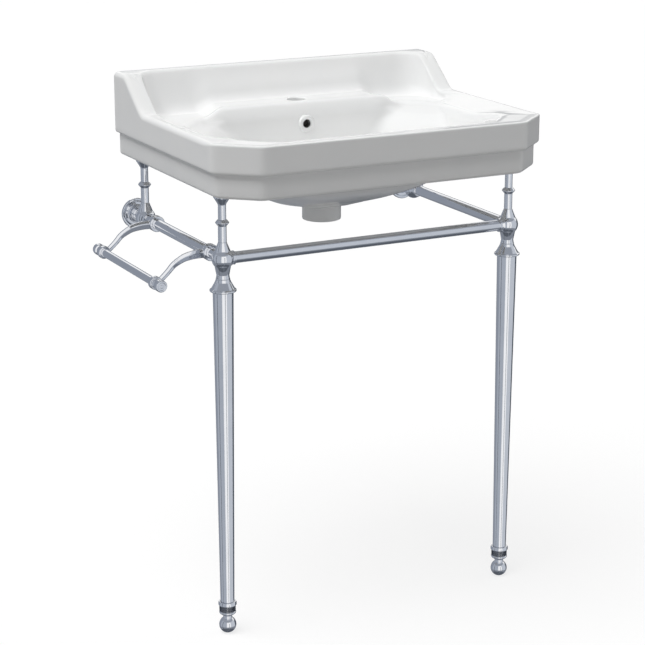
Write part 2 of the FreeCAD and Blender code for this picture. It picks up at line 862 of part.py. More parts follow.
def bowl_sections(grow):
    """Outlines of the bowl from rim to drain, as (height, corners); grow moves them out by a wall."""
    half = half_width - size["bowl_side_margin"]
    front = depth - size["bowl_front_margin"]
    back = size["bowl_back"]
    floor = rim - size["bowl_depth"]
    drop = deck - floor
    drain = size["drain_setback"]
    foot = size["waste_seat_diameter"] / 2
    rows = (
        # share of the drop, share of the way in from the sides, front and back, and the corner cut
        (-0.08, -0.01, -0.01, -0.01, 48),
        (0.0, 0.0, 0.0, 0.0, 48),
        (0.14, 0.01, 0.09, 0.16, 66),
        (0.30, 0.04, 0.22, 0.30, 86),
        (0.62, 0.31, 0.38, 0.50, 88),
        (0.82, 0.62, 0.65, 0.62, 60),
        (0.94, 0.82, 0.90, 0.78, 38),
        (1.0, 1.0, 1.0, 1.0, 18),
    )
    sections = []
    for fall, side_share, front_share, back_share, cut in rows:
        reach = half - (half - foot) * side_share + grow
        front_y = -(front - (front - drain - foot) * front_share + grow)
        back_y = -(back + (drain - foot - back) * back_share - grow)
        height = deck - drop * fall
        radius = cut * 0.45
        sections.append((height, [
            (-reach, back_y - cut, radius),
            (-reach, front_y + cut, radius),
            (-reach + cut, front_y, radius),
            (reach - cut, front_y, radius),
            (reach, front_y + cut, radius),
            (reach, back_y - cut, radius),
            (reach - cut, back_y, radius),
            (-reach + cut, back_y, radius),
        ]))
    return sections


def loft(body, kind, name, sections, lift=0):
    """Join outlines at several heights into one smooth solid, added or cut."""
    sketches = []
    for index, (height, corners) in enumerate(sections):
        sketches.append(outline_sketch(body, f"{name}_{index}", "XY_Plane", corners, height + lift))
    document.recompute()
    feature = body.newObject(f"PartDesign::{kind}", name)
    feature.Profile = sketches[0]
    feature.Sections = sketches[1:]
    return feature


def duct_spine(body):
    """The overflow's way down behind the bowl and under it to the waste spigot, in the Y-Z plane."""
    wall = size["shell_wall"]
    overflow_level = rim - size["overflow_drop"]
    back = -size["bowl_back"] + wall / 2
    low = size["overflow_duct"] / 2 - 3 - size["spigot_drop"]
    sketch = new_sketch(body, "overflow_spine", "YZ_Plane")
    points = [
        (back, overflow_level + 4),
        (back - 4, overflow_level - 20),
        (back - 22, low + 22),
        (-size["drain_setback"] + size["waste_diameter"] * 0.3, low + 2),
    ]
    previous = None
    for start, finish in zip(points, points[1:]):
        line = sketch.addGeometry(Part.LineSegment(vector(*start), vector(*finish)), False)
        if previous is None:
            pin_point(sketch, line, 1, *start)
        else:
            sketch.addConstraint(Sketcher.Constraint("Coincident", previous, 2, line, 1))
        pin_point(sketch, line, 2, *finish)
        previous = line
    return sketch


def make_basin():
    body = new_body("basin")
    place(body, 0, 0, level(size["underside_height"]))
    overhang = size["band_overhang"]
    corner = size["corner_radius"]
    skirt_x = half_width - overhang
    skirt = outline_sketch(body, "skirt_plan", "XY_Plane",
                           [(-skirt_x, 0), *plan_front(overhang, corner), (skirt_x, 0)])
    pad(body, "skirt", skirt, step)
    band = outline_sketch(body, "band_plan", "XY_Plane",
                          [(-half_width, 0), *plan_front(as_length(0), corner), (half_width, 0)], step)
    pad(body, "band", band, size["band_height"])
    splash = outline_sketch(body, "splash_side", "YZ_Plane", [
        (0, rim - 10),
        (0, crest),
        (-size["wing_crest_depth"], crest, size["wing_crest_radius"]),
        (-size["wing_foot_depth"], rim, size["wing_foot_radius"]),
        (-size["wing_foot_depth"] - 40, rim),
        (-size["wing_foot_depth"] - 40, rim - 10),
    ])
    pad(body, "splash", splash, size["basin_width"], both_ways=True)

    foot_x = half_width - size["wing_foot_thickness"]
    crest_x = half_width - size["wing_crest_thickness"]
    ahead = -size["wing_foot_depth"] - 60
    between = loft(body, "SubtractiveLoft", "between_wings", [
        (rim, splash_gap(foot_x, ahead, -size["splash_foot"])),
        (crest, splash_gap(crest_x, ahead, -size["splash_crest"])),
    ])
    document.recompute()

    rim_level, crest_level = rim.value, crest.value

    def on_top_lip(point):
        high = point.z > rim_level - TOLERANCE
        at_side = abs(abs(point.x) - half_width.value) < TOLERANCE
        at_front = abs(point.z - rim_level) < TOLERANCE and outside_plan(point, 0) < 3
        return high and (at_side or at_front)

    lip = round_edges(body, between, "top_lip", size["lip_radius"], on_top_lip)
    document.recompute()

    def on_band_edge(point):
        return abs(point.z - step.value) < TOLERANCE and outside_plan(point, 0) < overhang.value / 2

    band_edge = round_edges(body, lip, "band_edge", size["band_edge_radius"], on_band_edge)
    document.recompute()

    def on_skirt_edge(point):
        near = outside_plan(point, overhang.value) < 3
        return abs(point.z) < TOLERANCE and near

    round_edges(body, band_edge, "skirt_edge", size["skirt_edge_radius"], on_skirt_edge)

    wall = overhang + size["skirt_wall"]
    hollow_x = half_width - wall
    hollow = outline_sketch(body, "hollow_plan", "XY_Plane", [
        (-hollow_x, -size["skirt_wall"], 12),
        *plan_front(wall, 12),
        (hollow_x, -size["skirt_wall"], 12),
    ])
    hollow_depth = deck - size["deck_thickness"]
    pocket(body, "hollow", hollow, hollow_depth, along_normal=True)
    for row, y in ROWS.items():
        for side, sign in SIDES.items():
            land = circle_sketch(body, f"{row}_{side}_land_plan", "XY_Plane", sign * half_spacing, y,
                                 size["land_diameter"] / 2)
            pad(body, f"{row}_{side}_land", land, hollow_depth + 2)

    recess = outline_sketch(body, "deck_plan", "XY_Plane", deck_outline(foot_x), rim)
    pocket(body, "deck", recess, size["deck_recess"])

    shell = size["shell_wall"]
    outer = [(height, corners) for height, corners in bowl_sections(shell)[1:]]
    loft(body, "AdditiveLoft", "bowl_shell", outer, -shell)
    spigot_level = -size["spigot_drop"]
    floor = rim - size["bowl_depth"]
    spigot = circle_sketch(body, "spigot_plan", "XY_Plane", 0, -size["drain_setback"],
                           size["spigot_diameter"] / 2, spigot_level)
    pad(body, "spigot", spigot, floor - spigot_level)
    spine = duct_spine(body)
    duct_pipe(body, spine, "AdditivePipe", "overflow_duct", size["overflow_duct"] / 2)
    loft(body, "SubtractiveLoft", "bowl", bowl_sections(as_length(0)))
    primitive(body, "AdditiveCylinder", "overflow_ring", (0, -size["bowl_back"], rim - size["overflow_drop"]),
              (0, -1, 0), Radius=size["overflow_ring_diameter"] / 2, Height=size["overflow_ring_reach"])
    drill_basin(body, spine, floor, spigot_level, hollow_depth)


def splash_gap(side_x, ahead, back):
    radius = size["splash_corner_radius"]
    return [(-side_x, ahead), (side_x, ahead), (side_x, back, radius), (-side_x, back, radius)]


def deck_outline(foot_x):
    """The sunk deck between the rim's lip, the wings and the splashback, round the raised tap platform."""
    radius = size["splash_corner_radius"]
    lip = size["rim_lip"]
    side_x = half_width - lip
    platform = size["platform_width"] / 2
    wing_y = -size["wing_foot_depth"] - size["rim_lip"]
    back = -size["splash_foot"]
    bowl_edge = -size["bowl_back"] - size["rim_lip"]
    return [
        (-platform, back),
        (-foot_x, back, radius),
        (-foot_x, wing_y),
        (-side_x, wing_y, 6),
        *plan_front(lip, 12),
        (side_x, wing_y, 6),
        (foot_x, wing_y),
        (foot_x, back, radius),
        (platform, back),
        (platform, back - 30, 10),
        (platform - 18, bowl_edge + 20, 10),
        (platform - 18, bowl_edge),
        (-platform + 18, bowl_edge),
        (-platform + 18, bowl_edge + 20, 10),
        (-platform, back - 30, 10),
    ]


def duct_pipe(body, spine, kind, name, radius):
    """Sweep a circle along the overflow spine, starting at its top."""
    start_y = -size["bowl_back"] + size["shell_wall"] / 2
    section = circle_sketch(body, f"{name}_section", "XY_Plane", 0, start_y, radius,
                            rim - size["overflow_drop"] + 4)
    document.recompute()
    feature = body.newObject(f"PartDesign::{kind}", name)
    feature.Profile = section
    feature.Spine = (spine, ["Edge1", "Edge2", "Edge3"])
    feature.Transition = "Round corner"


def drill_basin(body, spine, floor, spigot_level, hollow_depth):
    """The waste bore and its seat, the overflow, the tap hole and the two wall bolt holes."""
    drain_y = -size["drain_setback"]
    primitive(body, "SubtractiveCylinder", "waste_bore", (0, drain_y, spigot_level - 1), (0, 0, 1),
              Radius=size["waste_diameter"] / 2, Height=floor - spigot_level + 2)
    primitive(body, "SubtractiveCylinder", "waste_seat", (0, drain_y, floor - size["waste_seat_depth"]),
              (0, 0, 1), Radius=size["waste_seat_diameter"] / 2, Height=size["waste_seat_depth"] + 2)
    duct_pipe(body, spine, "SubtractivePipe", "overflow_passage", size["overflow_passage"] / 2)
    overflow_level = rim - size["overflow_drop"]
    ring_face = -size["bowl_back"] - size["overflow_ring_reach"]
    primitive(body, "SubtractiveCylinder", "overflow_hole", (0, ring_face - 1, overflow_level), (0, 1, 0),
              Radius=size["overflow_diameter"] / 2, Height=size["overflow_ring_reach"] + 1 + size["shell_wall"] / 2)
    primitive(body, "SubtractiveCylinder", "tap_hole", (0, -size["tap_setback"], hollow_depth - 1), (0, 0, 1),
              Radius=size["tap_hole_diameter"] / 2, Height=rim - hollow_depth + 2)
    for side, sign in SIDES.items():
        start = (sign * size["bolt_spacing"] / 2, 1, size["bolt_rise"])
        primitive(body, "SubtractiveCylinder", f"{side}_bolt_hole", start, (0, -1, 0),
                  Radius=size["bolt_hole_diameter"] / 2, Height=size["skirt_wall"] + 2)


def make_stand():
    for side in SIDES:
        make_leg(side)
        make_foot(side)
        make_front_fitting(side)
        make_rear_fitting(side)
        make_wall_flange(side)
        rail_x = SIDES[side] * half_spacing
        make_rail(f"{side}_side_rail", rail_x, front_axis, (0, 1, 0), frame_depth)
        for row in ROWS:
            make_support(row, side)
    make_rail("front_rail", -half_spacing, front_axis, (1, 0, 0), 2 * half_spacing)
    make_leg_studs()
    make_support_rods()
    make_rail_grubs()


def make_towel_holder():
    make_towel_arm("front", -1)
    make_towel_arm("rear", 1)
    make_arm_grubs()
    make_towel_bar()


def check_and_export():
    """Stop if anything failed to build; otherwise write one file per sub-part."""
    document.recompute()
    for item in document.Objects:
        faults = [state for state in item.State if state in ("Invalid", "Error")]
        if faults:
            raise RuntimeError(f"{item.Label}: {faults}")
    os.makedirs("parts", exist_ok=True)
    for item in sub_parts:
        shape = item.Shape
        if shape.isNull() or not shape.isValid() or not shape.Solids:
            raise RuntimeError(f"{item.Label} has no valid solid")
    for item in sub_parts:
        item.Shape.exportStep(f"parts/{item.Label}.step")
        box = item.Shape.BoundBox
        print(f"{item.Label}: {len(item.Shape.Solids)} solid(s), {item.Shape.Volume / 1000:.1f} cm3, "
              f"x {box.XMin:.1f}..{box.XMax:.1f} y {box.YMin:.1f}..{box.YMax:.1f} z {box.ZMin:.1f}..{box.ZMax:.1f}")


make_stand()
make_towel_holder()
make_basin()
check_and_export()
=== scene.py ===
"""Console sink with legs: the glazed basin, the chromed stand and the towel holder, dressed on the packed frame."""

import math

import bpy
import numpy as np
from bpy.props import FloatProperty, FloatVectorProperty, IntProperty, PointerProperty
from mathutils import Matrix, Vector


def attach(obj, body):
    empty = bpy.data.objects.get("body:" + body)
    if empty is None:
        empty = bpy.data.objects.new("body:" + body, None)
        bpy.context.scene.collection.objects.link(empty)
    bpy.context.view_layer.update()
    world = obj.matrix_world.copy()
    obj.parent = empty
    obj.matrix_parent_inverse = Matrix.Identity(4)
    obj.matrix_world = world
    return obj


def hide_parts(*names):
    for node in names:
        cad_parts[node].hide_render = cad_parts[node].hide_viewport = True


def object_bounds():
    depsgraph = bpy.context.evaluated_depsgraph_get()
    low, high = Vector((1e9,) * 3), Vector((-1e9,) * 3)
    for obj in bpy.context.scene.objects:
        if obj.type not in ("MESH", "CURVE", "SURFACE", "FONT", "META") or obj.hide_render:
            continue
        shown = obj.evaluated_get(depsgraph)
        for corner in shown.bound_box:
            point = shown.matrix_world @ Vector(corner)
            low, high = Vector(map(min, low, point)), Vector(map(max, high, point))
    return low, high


bl_info = {
    "name": "Console Sink With Legs",
    "version": (1, 0, 0),
    "blender": (4, 5, 0),
    "location": "3D View > Sidebar > Console Sink",
    "description": "Builds a glazed basin on a chromed two-legged stand with a swinging towel holder",
    "category": "Object",
}

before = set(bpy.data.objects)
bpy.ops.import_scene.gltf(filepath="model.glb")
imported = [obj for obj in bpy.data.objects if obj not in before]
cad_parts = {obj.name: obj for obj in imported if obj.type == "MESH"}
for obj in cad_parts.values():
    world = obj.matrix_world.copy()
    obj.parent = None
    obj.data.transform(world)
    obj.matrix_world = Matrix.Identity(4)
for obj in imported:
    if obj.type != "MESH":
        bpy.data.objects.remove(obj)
CAD_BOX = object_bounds()
FLOOR = CAD_BOX[0].z


def linear(code):
    """The linear colour of an sRGB hex value."""
    levels = [int(code[i:i + 2], 16) / 255 for i in (0, 2, 4)]
    return [v / 12.92 if v <= 0.04045 else ((v + 0.055) / 1.055) ** 2.4 for v in levels]


def length(name, description, millimetres):
    return FloatProperty(name=name, description=description, default=millimetres / 1000, unit="LENGTH", precision=4)


def colour(name, description, code):
    return FloatVectorProperty(name=name, description=description, default=linear(code), subtype="COLOR",
                               size=3, min=0, max=1)


def count_of(name, description, value):
    return IntProperty(name=name, description=description, default=value, min=2, max=120)


def amount(name, description, value, **kind):
    return FloatProperty(name=name, description=description, default=value, min=0, **kind)


class BasinSizes(bpy.types.PropertyGroup):
    """Heights above the floor and depths from the wall of the ceramic basin"""

    width: length("Width", "Across the basin from side to side", 610)
    depth: length("Depth", "From the wall to the front edge", 470)
    crest: length("Crest height", "Top of the splashback", 908)
    rim: length("Rim height", "Top of the rim at the front", 851)
    deck: length("Deck height", "Top of the sunk deck between rim and bowl", 836)
    step: length("Step height", "Underside of the proud band", 802)
    underside: length("Underside height", "Lower edge of the skirt", 762)
    overhang: length("Band overhang", "How far the band stands proud of the skirt", 8)
    cut_across: length("Corner cut across", "Width of the cut front corner", 63)
    cut_deep: length("Corner cut deep", "Depth of the cut front corner", 56)
    ledge_rise: length("Tap ledge rise", "How far the tap ledge stands above the deck", 15)
    ledge_half: length("Tap ledge half width", "From the middle to the end of the tap ledge", 166)
    drain: length("Drain depth", "From the wall to the middle of the waste hole", 195)
    tap: length("Tap hole depth", "From the wall to the middle of the tap hole", 96)
    bolts: length("Wall bolt height", "Height of the holes for the wall bolts", 790)
    overflow: length("Overflow height", "Height of the middle of the overflow hole", 814)


class StandSizes(bpy.types.PropertyGroup):
    """Sizes of the chromed stand"""

    spacing: length("Half spacing", "From the middle to a leg", 270)
    front: length("Front depth", "From the wall to the legs", 374)
    rear: length("Rear depth", "From the wall to the rear balls", 45)
    rail: length("Rail height", "Height of the rails and the corner balls", 654)
    leg_top: length("Leg top height", "Where the leg enters the corner fitting", 600)
    leg_tip: length("Leg tip height", "Where the leg enters the foot collar", 44)
    leg_top_radius: length("Leg top radius", "Radius of the leg at its top", 17)
    leg_tip_radius: length("Leg tip radius", "Radius of the leg at its tip", 11.7)
    ball_radius: length("Ball radius", "Radius of a corner ball", 18)
    rail_radius: length("Rail radius", "Radius of a rail", 9.5)
    foot_radius: length("Foot ball radius", "Radius of a foot ball", 14.6)
    knurl_columns: count_of("Knurl columns", "Points of the knurl round a foot collar", 54)
    knurl_rows: count_of("Knurl rows", "Rows of points of the knurl", 8)


class TowelSizes(bpy.types.PropertyGroup):
    """Sizes of the towel holder"""

    reach: length("Reach", "From the side rail out to the bar", 98)
    drop: length("Drop", "From the side rail down to the bar", 40)
    spread: length("Arm spread", "Between the middles of the two arms", 230)
    bar_radius: length("Bar radius", "Radius of the bar", 7)


class FinishColours(bpy.types.PropertyGroup):
    """Colours of the finishes"""

    glaze: colour("Glaze", "The white glaze", "fafaf9")
    glaze_pool: colour("Glaze pool", "The glaze where it lies a little thicker", "f4f5f5")
    # The throat's dark grey is painted shade inside the overflow hole.
    throat: colour("Throat", "The unlit clay inside the overflow", "6d6a66")
    chrome: colour("Chrome", "Bright chromium plating", "f0f1f4")
    chrome_haze: colour("Chrome haze", "Chromium where polish has left a faint haze", "e3e5e9")
    # The knurl's dark colour is painted shade for the grooves of the knurl.
    knurl: colour("Knurled chrome", "Chromium on the knurled collars", "6c7078")
    steel: colour("Steel", "Zinc plated steel of the hidden studs", "9a9c9e")
    rubber: colour("Rubber", "Black rubber of the support pads", "1c1c1d")


class StageLight(bpy.types.PropertyGroup):
    """Camera and light"""

    lens: amount("Lens", "Focal length in millimetres", 111.68)
    yaw: amount("Yaw", "Turn of the camera to the right of the wall's normal", math.radians(26.994), subtype="ANGLE")
    pitch: amount("Pitch", "Tilt of the camera below the horizon", math.radians(15.981), subtype="ANGLE")
    ambient: amount("Ambient", "Light from all round on dull surfaces", 0.25)
    fill: amount("Fill light", "Strength of the faint light from the right", 0.7)
    overhead: amount("Overhead light", "Strength of the soft light from above", 2.35)


# Small tools for shapes. They work in millimetres, in the frame of the wall, with heights above the floor.


def to_metres(points):
    return (np.asarray(points, float) + (0, 0, FLOOR * 1000)) / 1000


def new_object(name, points, faces=(), material=None):
    """Puts points in metres and their faces in the scene as a mesh object."""
    mesh = bpy.data.meshes.new(name)
    mesh.from_pydata(np.asarray(points).tolist(), [], faces)
    if material:
        mesh.materials.append(material)
    made = bpy.data.objects.new(name, mesh)
    bpy.context.scene.collection.objects.link(made)
    return made


def make_plain(piece, modifier):
    """Gives a piece the mesh that its modifier makes, and removes the modifier."""
    graph = bpy.context.evaluated_depsgraph_get()
    result = bpy.data.meshes.new_from_object(piece.evaluated_get(graph))
    piece.modifiers.remove(modifier)
    before, piece.data = piece.data, result
    bpy.data.meshes.remove(before)


def add_piece(name, shells, finish="chrome", body="stand", nodes=(), crease=40):
    """Joins closed shells of (points, faces) into one piece that rides on a body and stands for its nodes."""
    points, faces = [], []
    for shell_points, shell_faces in shells:
        faces.extend([[len(points) + i for i in face] for face in shell_faces])
        points.extend(shell_points)
    piece = new_object(name, to_metres(points), faces)
    piece.data.validate()
    return finish_piece(piece, finish, body, nodes, crease)


def finish_piece(piece, finish, body="stand", nodes=(), crease=40):
    mesh = piece.data
    if not len(mesh.polygons):
        raise RuntimeError(f"{piece.name} has no faces")
    if not mesh.materials:
        mesh.materials.append(finish_for(finish))
    mesh.polygons.foreach_set("use_smooth", [True] * len(mesh.polygons))
    mesh.set_sharp_from_angle(angle=math.radians(crease))
    mesh.update()
    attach(piece, body)
    if nodes:
        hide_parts(*nodes)
    return piece


def smoothstep(value, low, high):
    t = np.clip((np.asarray(value, float) - low) / (high - low), 0, 1)
    return t * t * (3 - 2 * t)


def arc(middle, radius, start, end, count):
    """Points of an arc in a profile, with angles in degrees from the radius direction towards the height."""
    turns = np.radians(np.linspace(start, end, count))
    return [(middle[0] + radius * math.cos(t), middle[1] + radius * math.sin(t), 0) for t in turns]


def corner_shape(before, here, after):
    """The ways out of a corner along its two sides, the sides' lengths, and half the angle between them."""
    before, after = before - here, after - here
    run_in, run_out = np.linalg.norm(before), np.linalg.norm(after)
    before, after = before / run_in, after / run_out
    return before, run_in, after, run_out, math.acos(max(-1, min(1, float(before @ after)))) / 2


def corner_arc(here, shape, radius, most, steps=None):
    """The points of the arc that rounds a corner, and how far it reaches along the sides, at most a share of them."""
    before, run_in, after, run_out, half = shape
    reach = min(radius / math.tan(half), run_in * most, run_out * most)
    size = reach * math.tan(half)
    middle = here + (before + after) / np.linalg.norm(before + after) * size / math.sin(half)
    first, last = here + before * reach - middle, here + after * reach - middle
    points, steps = [], steps or (4 if size < 1 else 7)
    for k in range(steps + 1):
        share = k / steps
        spoke = first * (1 - share) + last * share
        points.append(middle + spoke / np.linalg.norm(spoke) * size)
    return points, reach


BROKEN_EDGE = 0.3
NEARLY_STRAIGHT = math.radians(86)


def rounded(profile, closed=False):
    """Rounds the corners of a profile: each is (radius, height) or (radius, height, rounding)."""
    count = len(profile)
    result = []
    for i, corner in enumerate(profile):
        here = np.array(corner[:2], float)
        size = corner[2] if len(corner) > 2 else BROKEN_EDGE
        open_end = not closed and i in (0, count - 1)
        shape = None if open_end or size <= 0 else corner_shape(
            np.array(profile[i - 1][:2], float), here, np.array(profile[(i + 1) % count][:2], float))
        if not shape or shape[-1] > NEARLY_STRAIGHT:
            result.append(here)
            continue
        # A point on each side just past the arc keeps the shading of the flat next to it true.
        before, run_in, after, run_out, _ = shape
        points, reach = corner_arc(here, shape, size, 0.45)
        support = min(0.4, reach * 0.5)
        result.append(here + before * reach + before * min(support, run_in * 0.04))
        result.extend(points)
        result.append(here + after * reach + after * min(support, run_out * 0.04))
    return result


def bridge(rings, joined=False):
    """Faces between rings of point numbers, and from the last ring to the first where they are joined."""
    faces = []
    for low, high in zip(rings, rings[1:] + rings[:1] if joined else rings[1:]):
        for j in range(len(low)):
            k = (j + 1) % len(low)
            face = [low[j], low[k], high[k], high[j]]
            face = [v for n, v in enumerate(face) if v != face[n - 1]]
            if len(face) > 2:
                faces.append(face)
    return faces


def capped(rings):
    """A closed shell of rings of points, with a cap at each end."""
    sides = len(rings[0])
    numbers = np.arange(len(rings) * sides).reshape(-1, sides).tolist()
    return [point for ring in rings for point in ring], [*bridge(numbers), numbers[0][::-1], numbers[-1]]


def lathe(profile, centre, axis=(0, 0, 1), closed=False, steps=96):
    """Turns a profile about an axis through centre, from the foot outwards and up; a closed one has a bore."""
    axis = Vector(axis).normalized()
    side = Vector((1, 0, 0)) if abs(axis.x) < 0.5 else Vector((0, 1, 0))
    side = (side - axis * side.dot(axis)).normalized()
    axis, side, other, centre = (np.array(v, float) for v in (axis, side, axis.cross(side), centre))
    turns = np.arange(steps) * 2 * math.pi / steps
    spokes = np.outer(np.cos(turns), side) + np.outer(np.sin(turns), other)
    points, rings = [], []
    for radius, height in rounded(profile, closed):
        middle = centre + axis * height
        if radius < 1e-6:
            rings.append([len(points)] * steps)
            points.append(middle)
        else:
            rings.append(list(range(len(points), len(points) + steps)))
            points.extend(middle + spokes * radius)
    return points, bridge(rings, closed)


def smooth_path(points, count):
    """A smooth line through points, evenly divided."""
    points = np.array(points, float)
    padded = np.vstack([2 * points[0] - points[1], points, 2 * points[-1] - points[-2]])
    line = []
    for i in range(1, len(padded) - 2):
        a, b, c, d = padded[i - 1:i + 3]
        for t in np.linspace(0, 1, 20, endpoint=False):
            line.append(0.5 * (2 * b + (c - a) * t + (2 * a - 5 * b + 4 * c - d) * t ** 2
                               + (3 * b - a - 3 * c + d) * t ** 3))
    line = np.array([*line, points[-1]])
    run = np.concatenate([[0], np.cumsum(np.linalg.norm(np.diff(line, axis=0), axis=1))])
    even = np.linspace(0, run[-1], count)
    return np.column_stack([np.interp(even, run, line[:, k]) for k in range(line.shape[1])])


# Materials.


def adder(tree):
    """The function that adds nodes to one tree."""
    def add(kind, inputs=None, **settings):
        """Adds a node with its settings; an input is given a value, or the socket or the node to link from."""
        node = tree.nodes.new(kind)
        for name, value in settings.items():
            setattr(node, name, value)
        for name, value in (inputs or {}).items():
            if isinstance(value, bpy.types.Node):
                value = next(socket for socket in value.outputs if socket.enabled)
            if isinstance(value, bpy.types.NodeSocket):
                tree.links.new(value, node.inputs[name])
            else:
                node.inputs[name].default_value = value
        return node

    return add


def new_material(name):
    """A material without nodes, and the function that adds them."""
    material = bpy.data.materials.new(name)
    material.use_nodes = True
    material.node_tree.nodes.clear()
    return material, adder(material.node_tree)


def across(millimetres):
    """The scale of a texture on Object coordinates whose features are this many millimetres apart."""
    return 1000 / millimetres


def solid(rgb, share=1, more=0):
    return (*(v * share + more for v in rgb), 1)


def glazed_vitreous_china(colours, add, place):
    """Vitreous china, slip cast and glazed in the kiln: deep white gloss with slow waves where the glaze ran."""
    # The glaze lies thicker and thinner in patches about 90 mm across.
    pools = add("ShaderNodeTexNoise", {"Vector": place, "Scale": across(90), "Detail": 2.0})
    tint = add("ShaderNodeMix", {"Factor": pools, "A": solid(colours.glaze), "B": solid(colours.glaze_pool)},
               data_type="RGBA")
    # Fine orange peel of about 3 mm and slow waves of about 40 mm.
    peel = add("ShaderNodeTexNoise", {"Vector": place, "Scale": across(3), "Detail": 1.0})
    waves = add("ShaderNodeTexNoise", {"Vector": place, "Scale": across(40), "Detail": 1.0})
    slow = add("ShaderNodeBump", {"Height": waves, "Strength": 0.25, "Distance": 0.0004})
    fine = add("ShaderNodeBump", {"Height": peel, "Strength": 0.12, "Distance": 0.00004, "Normal": slow})
    gloss = add("ShaderNodeMapRange", {"Value": pools, "To Min": 0.1, "To Max": 0.16})
    return {"Base Color": tint, "Roughness": gloss, "Normal": fine, "IOR": 1.5, "Specular IOR Level": 0.35}


def overflow_clay(colours, add, place):
    """Bare clay in the overflow where no glaze reached, painted dark grey as the shade inside the hole: dull and a
    little rough.
    """
    # Clay grain of about 1 mm.
    grain = add("ShaderNodeTexNoise", {"Vector": place, "Scale": across(1), "Detail": 3.0})
    tint = add("ShaderNodeMix", {"Factor": grain, "A": solid(colours.throat), "B": solid(colours.throat, 0.7)},
               data_type="RGBA")
    bump = add("ShaderNodeBump", {"Height": grain, "Strength": 0.3, "Distance": 0.0002})
    return {"Base Color": tint, "Roughness": 0.75, "Normal": bump}


def polished_chromium(colours, add, place):
    """Brass turned and cast, buffed and chromium plated: a cool mirror with a faint haze left by the buffing wheel."""
    # Haze in patches about 35 mm across.
    haze = add("ShaderNodeTexNoise", {"Vector": place, "Scale": across(35), "Detail": 3.0})
    tint = add("ShaderNodeMix", {"Factor": haze, "A": solid(colours.chrome), "B": solid(colours.chrome_haze)},
               data_type="RGBA")
    gloss = add("ShaderNodeMapRange", {"Value": haze, "To Min": 0.05, "To Max": 0.11})
    # The buffed surface rolls a little, in waves of about 12 mm.
    roll = add("ShaderNodeTexNoise", {"Vector": place, "Scale": across(12), "Detail": 0.0})
    slow = add("ShaderNodeBump", {"Height": roll, "Strength": 0.15, "Distance": 0.0002})
    return {"Base Color": tint, "Metallic": 1.0, "Roughness": gloss, "Normal": slow}


def knurled_chromium(colours, add, place):
    """Chromium over a rolled knurl: satin, and painted dark all over as the shade in its grooves, with spots of dust
    darker still.
    """
    # Dust in spots about 2 mm across, laid at random over the painted shade.
    dust = add("ShaderNodeTexNoise", {"Vector": place, "Scale": across(2), "Detail": 2.0})
    tint = add("ShaderNodeMix", {"Factor": dust, "A": solid(colours.knurl), "B": solid(colours.knurl, 0.6)},
               data_type="RGBA")
    gloss = add("ShaderNodeMapRange", {"Value": dust, "To Min": 0.22, "To Max": 0.4})
    return {"Base Color": tint, "Metallic": 1.0, "Roughness": gloss}


def zinc_plated_steel(colours, add, place):
    """Rolled and cut steel, zinc plated: dull grey with a faint crystal pattern."""
    # Zinc crystals of about 2.5 mm.
    flakes = add("ShaderNodeTexVoronoi", {"Vector": place, "Scale": across(2.5)})
    shade = add("ShaderNodeMapRange", {"Value": flakes, "To Min": 0.3, "To Max": 0.45})
    tint = add("ShaderNodeMix", {"Factor": flakes, "A": solid(colours.steel), "B": solid(colours.steel, 0.8)},
               data_type="RGBA")
    return {"Base Color": tint, "Metallic": 1.0, "Roughness": shade}


def moulded_rubber(colours, add, place):
    """Black rubber, pressed in a mould: matt, with a fine grain and a grey bloom."""
    # Mould grain of about 0.5 mm, and bloom in spots of about 6 mm.
    grain = add("ShaderNodeTexNoise", {"Vector": place, "Scale": across(0.5), "Detail": 2.0})
    bloom = add("ShaderNodeTexNoise", {"Vector": place, "Scale": across(6), "Detail": 2.0})
    tint = add("ShaderNodeMix", {"Factor": bloom, "A": solid(colours.rubber), "B": solid(colours.rubber, 1.9, 0.004)},
               data_type="RGBA")
    bump = add("ShaderNodeBump", {"Height": grain, "Strength": 0.3, "Distance": 0.0001})
    return {"Base Color": tint, "Roughness": 0.8, "Normal": bump, "Specular IOR Level": 0.3}


FINISHES = {
    "glaze": glazed_vitreous_china,
    "throat": overflow_clay,
    "chrome": polished_chromium,
    "knurled_chrome": knurled_chromium,
    "steel": zinc_plated_steel,
    "rubber": moulded_rubber,
}


def finish_for(name):
    """The material of a finish, made when it is first asked for: its function says what the shader's inputs take."""
    recipe = FINISHES[name]
    if recipe.__name__ not in bpy.data.materials:
        material, add = new_material(recipe.__name__)
        place = add("ShaderNodeTexCoord").outputs["Object"]
        shader = add("ShaderNodeBsdfPrincipled", recipe(bpy.context.scene.console_finishes, add, place))
        add("ShaderNodeOutputMaterial", {"Surface": shader})
    return bpy.data.materials[recipe.__name__]


def in_mm(group):
    """The lengths of a property group in millimetres, by name."""
    return type("Sizes", (), {name: getattr(group, name) * 1000 for name in group.__annotations__})


# The basin: one closed skin of rings, each with the same stations, counter-clockwise from the back of the left side.

ALONG = (60, 8, 52, 8, 60, 6, 90, 6)
ARC_STEPS = 4
BOWL_ROWS = (
    # share of the drop, share of the way in from the sides, front and back, and the corner cut
    (-0.13, 0.05, 0.04, -0.01, 48),
    (0.0, 0.06, 0.04, 0.0, 48),
    (0.09, 0.07, 0.10, 0.16, 66),
    (0.26, 0.11, 0.22, 0.30, 86),
    (0.60, 0.31, 0.38, 0.50, 88),
    (0.81, 0.62, 0.65, 0.62, 60),
    (0.94, 0.82, 0.90, 0.78, 38),
    (1.0, 1.0, 1.0, 1.0, 18),
)
BOWL_HALF, BOWL_FRONT, BOWL_BACK, SEAT = 254, 441, 129, 32
BOWL_FLOOR, SPIGOT_END = 697, 656
FALLS = (0.2, 0.25, 0.3, 0.36, 0.42, 0.48, 0.54, 0.6, 0.66, 0.71, 0.76, 0.8, 0.84, 0.87, 0.9, 0.925, 0.95, 0.97, 0.985)
SHELL = 12
CEILING_GAP = 14
# How much of a rounding's chamfer shows in plan on a corner of 45 degrees.
CORNER_SHARE = 0.586


